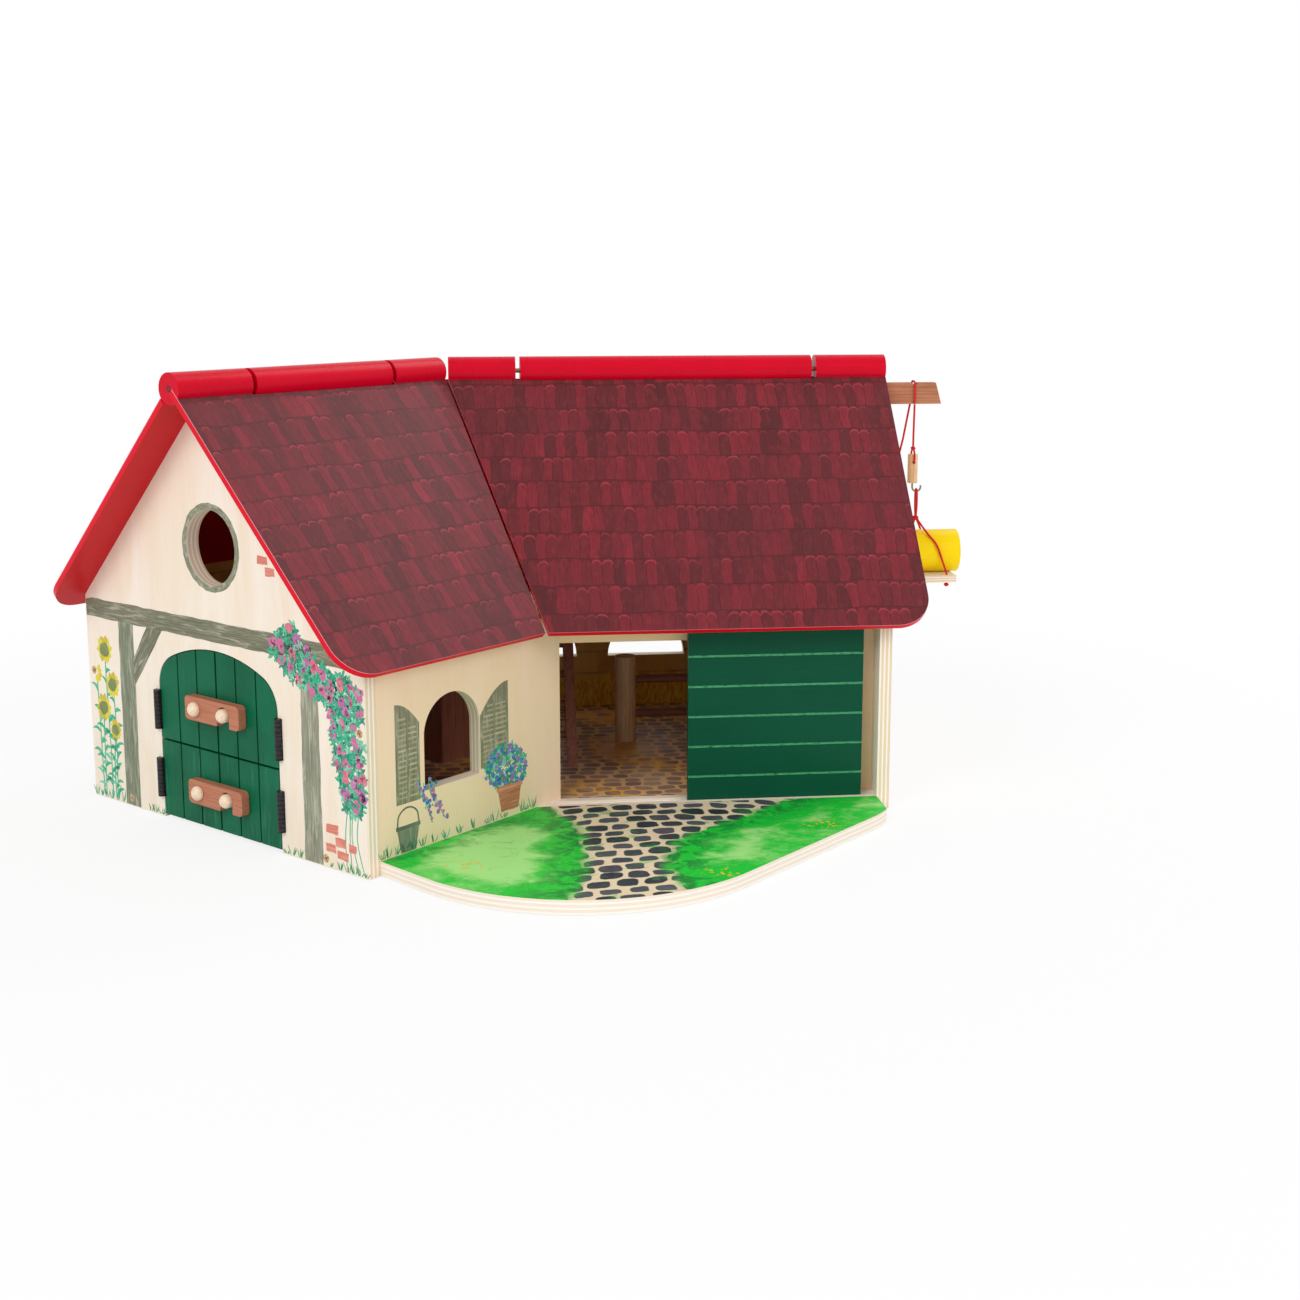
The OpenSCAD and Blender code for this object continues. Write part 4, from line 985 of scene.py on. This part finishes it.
def blob(centre, radius, rng, parts, rough, squash=1.0, turn=0.0):
    spots = []
    for angle in round_angles(parts):
        reach = radius * (1 + rng.uniform(-rough, rough))
        u, v = reach * math.cos(angle), reach * math.sin(angle) * squash
        spots.append((centre[0] + u * math.cos(turn) - v * math.sin(turn),
                      centre[1] + u * math.sin(turn) + v * math.cos(turn)))
    return spots


def blade(foot, tip, width, bend):
    """A leaf or blade of grass: widest near the middle, pointed at its tip."""
    du, dv = tip[0] - foot[0], tip[1] - foot[1]
    span = math.hypot(du, dv)
    nu, nv = -dv / span, du / span
    left, right = [], []
    for t in (0.0, 0.25, 0.5, 0.75):
        half = width * (0.35 + 1.1 * t * (1 - t) * 1.6) * (1 - t * 0.55)
        mid = (foot[0] + du * t + nu * bend * math.sin(math.pi * t),
               foot[1] + dv * t + nv * bend * math.sin(math.pi * t))
        left.append((mid[0] + nu * half, mid[1] + nv * half))
        right.append((mid[0] - nu * half, mid[1] - nv * half))
    return left + [tip] + list(reversed(right))


def stem(picture, points, width, colour, layer):
    """A thin painted stem along points, as short plates."""
    for a, b in zip(points, points[1:]):
        du, dv = b[0] - a[0], b[1] - a[1]
        span = math.hypot(du, dv)
        nu, nv = -dv / span * width / 2, du / span * width / 2
        picture.plate([(a[0] - nu, a[1] - nv), (b[0] - nu, b[1] - nv), (b[0] + nu, b[1] + nv),
                       (a[0] + nu, a[1] + nv)], colour, layer, math.degrees(math.atan2(dv, du)))


OLIVE = paint(134, 132, 104)
OLIVE_LIGHT = paint(176, 168, 138)
TEAL = paint(44, 182, 142)
TEAL_PALE = paint(120, 210, 176)
TEAL_DEEP = paint(24, 150, 120)
GRASS = paint(80, 170, 110)
PINK = paint(210, 112, 160)
ROSE = paint(226, 112, 140)
MAUVE = paint(196, 108, 170)
YELLOW = paint(228, 218, 50)
YELLOW_DEEP = paint(212, 190, 40)
HEART = paint(126, 140, 84)
BRICK = paint(226, 130, 112)
BLUE = paint(60, 120, 196)
LILAC = paint(150, 110, 190)
PETALS = 11


def inside_outline(spot, corners):
    u, v = spot
    odd = False
    for (u1, v1), (u2, v2) in zip(corners, corners[1:] + corners[:1]):
        if (v1 > v) != (v2 > v) and u < (u2 - u1) * (v - v1) / (v2 - v1) + u1:
            odd = not odd
    return odd


def scattered(corners, count, apart, rng):
    """Spots inside an outline, none closer to another than apart."""
    us, vs = [c[0] for c in corners], [c[1] for c in corners]
    spots = []
    for _ in range(count * 40):
        spot = (rng.uniform(min(us), max(us)), rng.uniform(min(vs), max(vs)))
        if inside_outline(spot, corners) and all(math.dist(spot, s) > apart for s in spots):
            spots.append(spot)
            if len(spots) == count:
                break
    return spots


def sprig(picture, spot, size, rng, layer=1):
    """A few small pointed leaves that spread from one spot."""
    colour = rng.choice((TEAL, TEAL, TEAL_DEEP, TEAL_PALE))
    start = rng.uniform(0, 2 * math.pi)
    for quarter in round_angles(4):
        angle = start + quarter + rng.uniform(-0.5, 0.5)
        reach = size * rng.uniform(0.7, 1.2)
        tip = (spot[0] + reach * math.cos(angle), spot[1] + reach * math.sin(angle))
        picture.plate(blade(spot, tip, size * 0.38, rng.uniform(-0.4, 0.4)), colour,
                      layer + rng.randrange(3), math.degrees(angle))


def grass_tuft(picture, foot, height, rng, colour, spread):
    for _ in range(5):
        lean = rng.uniform(-spread, spread)
        tall = height * rng.uniform(0.55, 1.0)
        start = (foot[0] + lean * 0.4, foot[1])
        tip = (foot[0] + lean * 1.3, foot[1] + tall)
        picture.plate(blade(start, tip, 0.55, rng.uniform(-0.8, 0.8)), colour, 2, 90)


def bricks(picture, places, rng):
    for a, z, wide, high in places:
        corners = [(a - wide / 2, z - high / 2), (a + wide / 2, z - high / 2),
                   (a + wide / 2, z + high / 2), (a - wide / 2, z + high / 2)]
        corners = [(u + rng.uniform(-0.5, 0.5), v + rng.uniform(-0.4, 0.4)) for u, v in corners]
        picture.plate(rough_outline(corners, rng, 2.0, 0.25), BRICK, 2, 0)


def gable_picture():
    """Timber frame, window ring, bricks and climbing flowers on the gable board."""
    rng = random.Random(11)

    def at(a, z, lift):
        return left_wing(GABLE - lift, a, z)

    timber = Picture("gable_timber_frame", at)

    def beam(corners, heading, layer, colour):
        timber.plate(rough_outline(corners, rng, 7.0, 0.35), colour, layer, heading)

    beam([(214.5, 0.6), (230, 0.6), (229.6, 121.5), (214, 121.5)], 90, 0, paint(130, 138, 114))
    beam([(38.5, 0.6), (54.5, 0.6), (54, 121.5), (38.9, 121.5)], 90, 0, paint(152, 154, 132))
    beam([(183, 121.5), (214.6, 81), (214.6, 99), (199, 121.5)], -52, 1, paint(120, 122, 98))
    beam([(0.4, 120.3), (263.6, 120.8), (263.6, 131.5), (258, 133), (4, 133), (0.4, 131.0)], 0, 2,
         paint(126, 126, 102))
    timber.ring((132, 178), 23.05, 27.0, paint(140, 146, 120), 0, 56, rng)
    timber.make(print_paint("timber_frame_paint", 0.8))

    flowers = Picture("gable_flower_print", at, GABLE_SCREWS)
    bricks(flowers, [(84, 175.5, 9, 4.6), (77.5, 169, 8.5, 4.6), (30, 24, 10, 5.5), (23, 17, 9, 5.2),
                     (31.5, 12.5, 8.5, 5), (21, 9.5, 9.5, 4.8), (12.5, 15.5, 6, 4.8),
                     (29, 5.2, 9, 4.4)], rng)

    # Yellow blooms on tall stems beside the outer post
    heads = [(246, 100, 10.0), (256, 84, 7.4), (239, 78, 9.0), (250, 61, 9.6), (238, 48, 7.4)]
    for a, z, size in heads:
        foot = (a + rng.uniform(-3, 3), 2.0)
        bow = [(foot[0], foot[1]), (foot[0] + rng.uniform(-2, 2), z * 0.35),
               (a + rng.uniform(-1.5, 1.5), z * 0.7), (a, z)]
        route = curve(bow)
        stem(flowers, route, 1.0, TEAL, 1)
        way = rng.choice((-1, 1))
        for u, v in route[1:-2]:
            way = -way
            tip = (u + way * rng.uniform(5, 9.5), v + rng.uniform(0.5, 6.0))
            flowers.plate(blade((u, v), tip, rng.uniform(1.5, 2.4), way * rng.uniform(1.0, 2.4)),
                          rng.choice((TEAL, TEAL, TEAL_PALE)), 2, 40 * way)
    for a, z, size in heads:
        for k, middle in enumerate(round_angles(PETALS)):
            angle = middle + rng.uniform(-0.15, 0.15)
            reach = size * rng.uniform(0.88, 1.08)
            tip = (a + reach * math.cos(angle) * 0.82, z + reach * math.sin(angle))
            root = (a + size * 0.25 * math.cos(angle), z + size * 0.25 * math.sin(angle))
            flowers.plate(blade(root, tip, size * 0.40, 0.2), rng.choice((YELLOW, YELLOW_DEEP)),
                          3 + k % 2, math.degrees(angle))
        flowers.plate(blob((a, z), size * 0.50, rng, 11, 0.12), HEART, 5, 40)
    for a in (234, 240, 246, 251, 257, 262):
        grass_tuft(flowers, (a, 0.8), rng.uniform(5, 11), rng, TEAL, 3.5)

    # Pink climbing bush over the yard-side post
    arm = [(70, 136), (58, 141), (49, 128), (30, 118), (14, 116), (2, 108), (2, 40), (10, 34), (19, 38),
           (23, 60), (28, 80), (30, 96), (44, 104), (60, 106), (78, 122), (76, 131)]
    for spot in scattered(arm, 250, 2.8, rng):
        sprig(flowers, spot, rng.uniform(3.2, 5.6), rng)
    for spot in scattered(arm, 38, 7.4, rng):
        colour = rng.choice((PINK, PINK, ROSE, MAUVE))
        for _ in range(5):
            part = (spot[0] + rng.uniform(-2.0, 2.0), spot[1] + rng.uniform(-2.6, 2.6))
            flowers.plate(blob(part, rng.uniform(1.5, 2.8), rng, 9, 0.25), colour,
                          4 + rng.randrange(3), rng.uniform(0, 90))
    for spot in scattered(arm, 70, 5.0, rng):
        sprig(flowers, spot, rng.uniform(2.0, 3.4), rng, 7)
    for start, end in (((8, 3), (12, 38)), ((14, 3), (14, 36)), ((4, 4), (7, 38)),
                       ((18, 4), (16, 40))):
        mid = ((start[0] + end[0]) / 2 + rng.uniform(-3, 3), (start[1] + end[1]) / 2)
        stem(flowers, curve([start, mid, end]), 0.7, TEAL, 1)
    for a in (2, 7, 12, 17, 24, 33, 59, 66, 71, 192, 199, 204):
        grass_tuft(flowers, (a, 0.8), rng.uniform(3, 7), rng, GRASS, 3.5)
    flowers.make(print_paint("flower_print_paint", 0.55, 0.25))


def shutter(picture, s_from, s_to, z_low, z_out, z_in, out_first, rng):
    """A louvred shutter whose curved top runs from z_out to z_in, from either side."""
    slat = 3.1
    tops = []
    for k in range(9):
        t = k / 8
        u = t if out_first else 1 - t
        tops.append((s_from + (s_to - s_from) * t, z_out + (z_in - z_out) * u ** 1.9))
    picture.plate([(s_from, z_low), (s_to, z_low)] + list(reversed(tops)), OLIVE, 0, 90)
    rows = int((min(z_out, z_in) - z_low) / slat)
    for i in range(rows + 2):
        z = z_low + 3.2 + i * slat
        limit = [s for s, top in tops if top > z + 3.0]
        if not limit:
            continue
        left, right = max(min(limit), s_from + 2.2), min(max(limit), s_to - 2.2)
        middle = (s_from + s_to) / 2
        for a, b in ((left, middle - 0.8), (middle + 0.8, right)):
            if b - a > 2:
                line = [(a, z), (b, z + rng.uniform(-0.2, 0.2)), (b, z + 1.1), (a, z + 1.1)]
                picture.plate(line, OLIVE_LIGHT, 1, 0)


def yard_picture():
    """Shutters, a flowering pot, a pail and grass on the yard wall."""
    rng = random.Random(23)

    def at(s, z, lift):
        return left_wing(-s, -lift, z)

    shutters = Picture("yard_window_shutters", at)
    shutter(shutters, 99.6, 118.7, 38, 97.6, 84, False, rng)
    shutter(shutters, 24.9, 49.4, 44.5, 95.2, 77.4, True, rng)
    shutters.make(print_paint("shutter_paint", 0.7))

    garden = Picture("yard_garden_print", at)
    # Flowering bush in a pot
    pot = [(17, 13), (32, 13), (35, 27), (14, 27)]
    garden.plate(rough_outline(pot, rng, 4.0, 0.3), paint(196, 120, 84), 1, 0)
    garden.plate(rough_outline([(13, 26.5), (36, 26.5), (36, 30), (13, 30)], rng, 4.0, 0.3),
                 paint(214, 138, 98), 2, 0)
    bush = [(12, 30), (37, 30), (46, 38), (44, 49), (34, 55), (22, 54), (11, 47), (8, 38)]
    for spot in scattered(bush, 90, 2.6, rng):
        sprig(garden, spot, rng.uniform(2.4, 4.0), rng)
    for spot in scattered(bush, 40, 3.4, rng):
        garden.plate(blob(spot, rng.uniform(1.2, 2.0), rng, 8, 0.2), rng.choice((BLUE, BLUE, LILAC)),
                     5 + rng.randrange(2), 0)
    # Garden pail with a bowed handle
    pail = [(104, 9), (116, 9), (119, 24), (101, 24)]
    garden.plate(rough_outline(pail, rng, 4.0, 0.3), paint(122, 132, 112), 2, 90)
    pail_rim = paint(96, 108, 92)
    rim = [(100.4, 22.8), (119.6, 22.8), (119.6, 25.2), (100.4, 25.2)]
    garden.plate(rough_outline(rim, rng, 4, 0.2), pail_rim, 3, 0)
    handle = [(101.5, 25), (103, 32), (110, 35.5), (117, 32), (118.5, 25)]
    stem(garden, curve(handle), 1.0, pail_rim, 3)
    # Purple sprays hanging under the window
    for start in ((101, 50), (97, 47), (93, 49), (89, 46)):
        end = (start[0] - rng.uniform(4, 9), start[1] - rng.uniform(18, 26))
        mid = ((start[0] + end[0]) / 2 + 3, (start[1] + end[1]) / 2 + 2)
        route = curve([start, mid, end])
        stem(garden, route, 0.6, TEAL, 1)
        for u, v in route[1:]:
            bloom = (u + rng.uniform(-2, 2), v + rng.uniform(-1.5, 1.5))
            garden.plate(blob(bloom, rng.uniform(1.0, 1.7), rng, 7, 0.25),
                         rng.choice((LILAC, MAUVE, BLUE)), 2 + rng.randrange(2), 0)
            leaf = (u + rng.uniform(-3, 3), v + rng.uniform(-2, 2))
            garden.plate(blob(leaf, 1.1, rng, 6, 0.4, 0.5, 1.0), TEAL, 1, 0)
    for s in (4, 9, 14, 30, 38, 44, 56, 68, 80, 90, 99, 106, 113, 120, 126, 130):
        grass_tuft(garden, (s, 9.2), rng.uniform(4, 9), rng, rng.choice((GRASS, TEAL)), 3.2)
    garden.make(print_paint("garden_print_paint", 0.5))


gable_picture()
yard_picture()


# Floor, background and lamps

def studio():
    mesh = bpy.data.meshes.new("studio_floor")
    reach, low = 6.0, -0.0005
    corners = ((-1, -1), (1, -1), (1, 1), (-1, 1))
    mesh.from_pydata([(u * reach, v * reach, low) for u, v in corners], [], [(0, 1, 2, 3)])
    floor = bpy.data.objects.new("studio_floor", mesh)
    bpy.context.scene.collection.objects.link(floor)
    f = Finish("studio_floor_white", Roughness=0.9, Base_Color=(0.9, 0.9, 0.9, 1.0))
    glow = f.tree.nodes.new("ShaderNodeEmission")
    glow.inputs[0].default_value = (1.0, 1.0, 1.0, 1.0)
    path = f.node("ShaderNodeLightPath")
    seen = path.of("Is Camera Ray") + path.of("Is Glossy Ray") + path.of("Is Transmission Ray")
    x, y, _ = f.place()
    away = (x * x + y * y).root().rise(350, 900)
    blend = f.node("ShaderNodeMixShader", {}, {0: (seen > 0.5) * (0.82 + away * 0.18)})
    f.tree.links.new(f.shader.outputs[0], blend.socket.node.inputs[1])
    f.tree.links.new(glow.outputs[0], blend.socket.node.inputs[2])
    f.tree.links.new(blend.socket, f.output.inputs[0])
    mesh.materials.append(f.material)

    world = bpy.data.worlds.new("studio_world")
    bpy.context.scene.world = world
    world.use_nodes = True
    tree = world.node_tree
    tree.nodes.clear()
    output = tree.nodes.new("ShaderNodeOutputWorld")
    path = tree.nodes.new("ShaderNodeLightPath")
    mix = tree.nodes.new("ShaderNodeMixShader")
    for strength, socket in ((0.55, mix.inputs[1]), (1.0, mix.inputs[2])):
        sky = tree.nodes.new("ShaderNodeBackground")
        sky.inputs[0].default_value = (1.0, 1.0, 1.0, 1.0)
        sky.inputs[1].default_value = strength
        tree.links.new(sky.outputs[0], socket)
    seen = path.outputs["Is Camera Ray"]
    for ray in ("Is Glossy Ray", "Is Transmission Ray"):
        either = tree.nodes.new("ShaderNodeMath")
        either.operation = "MAXIMUM"
        tree.links.new(seen, either.inputs[0])
        tree.links.new(path.outputs[ray], either.inputs[1])
        seen = either.outputs[0]
    tree.links.new(seen, mix.inputs[0])
    tree.links.new(mix.outputs[0], output.inputs[0])

    def lamp(name, spot, aim, size, watts):
        data = bpy.data.lights.new(name, "AREA")
        data.shape = "SQUARE"
        data.size = size
        data.energy = watts
        made = bpy.data.objects.new(name, data)
        bpy.context.scene.collection.objects.link(made)
        made.location = spot
        made.rotation_euler = (Vector(aim) - Vector(spot)).to_track_quat("-Z", "Y").to_euler()

    lamp("key_lamp", (-1.5, -1.9, 1.9), (0.0, 0.05, 0.12), 1.5, 34)
    lamp("fill_lamp", (1.9, -1.7, 1.3), (0.0, 0.05, 0.12), 1.6, 20)
    lamp("back_lamp", (1.5, 1.1, 1.8), (-0.05, 0.1, 0.2), 1.2, 14)


studio()
bpy.context.scene.view_settings.view_transform = "Standard"
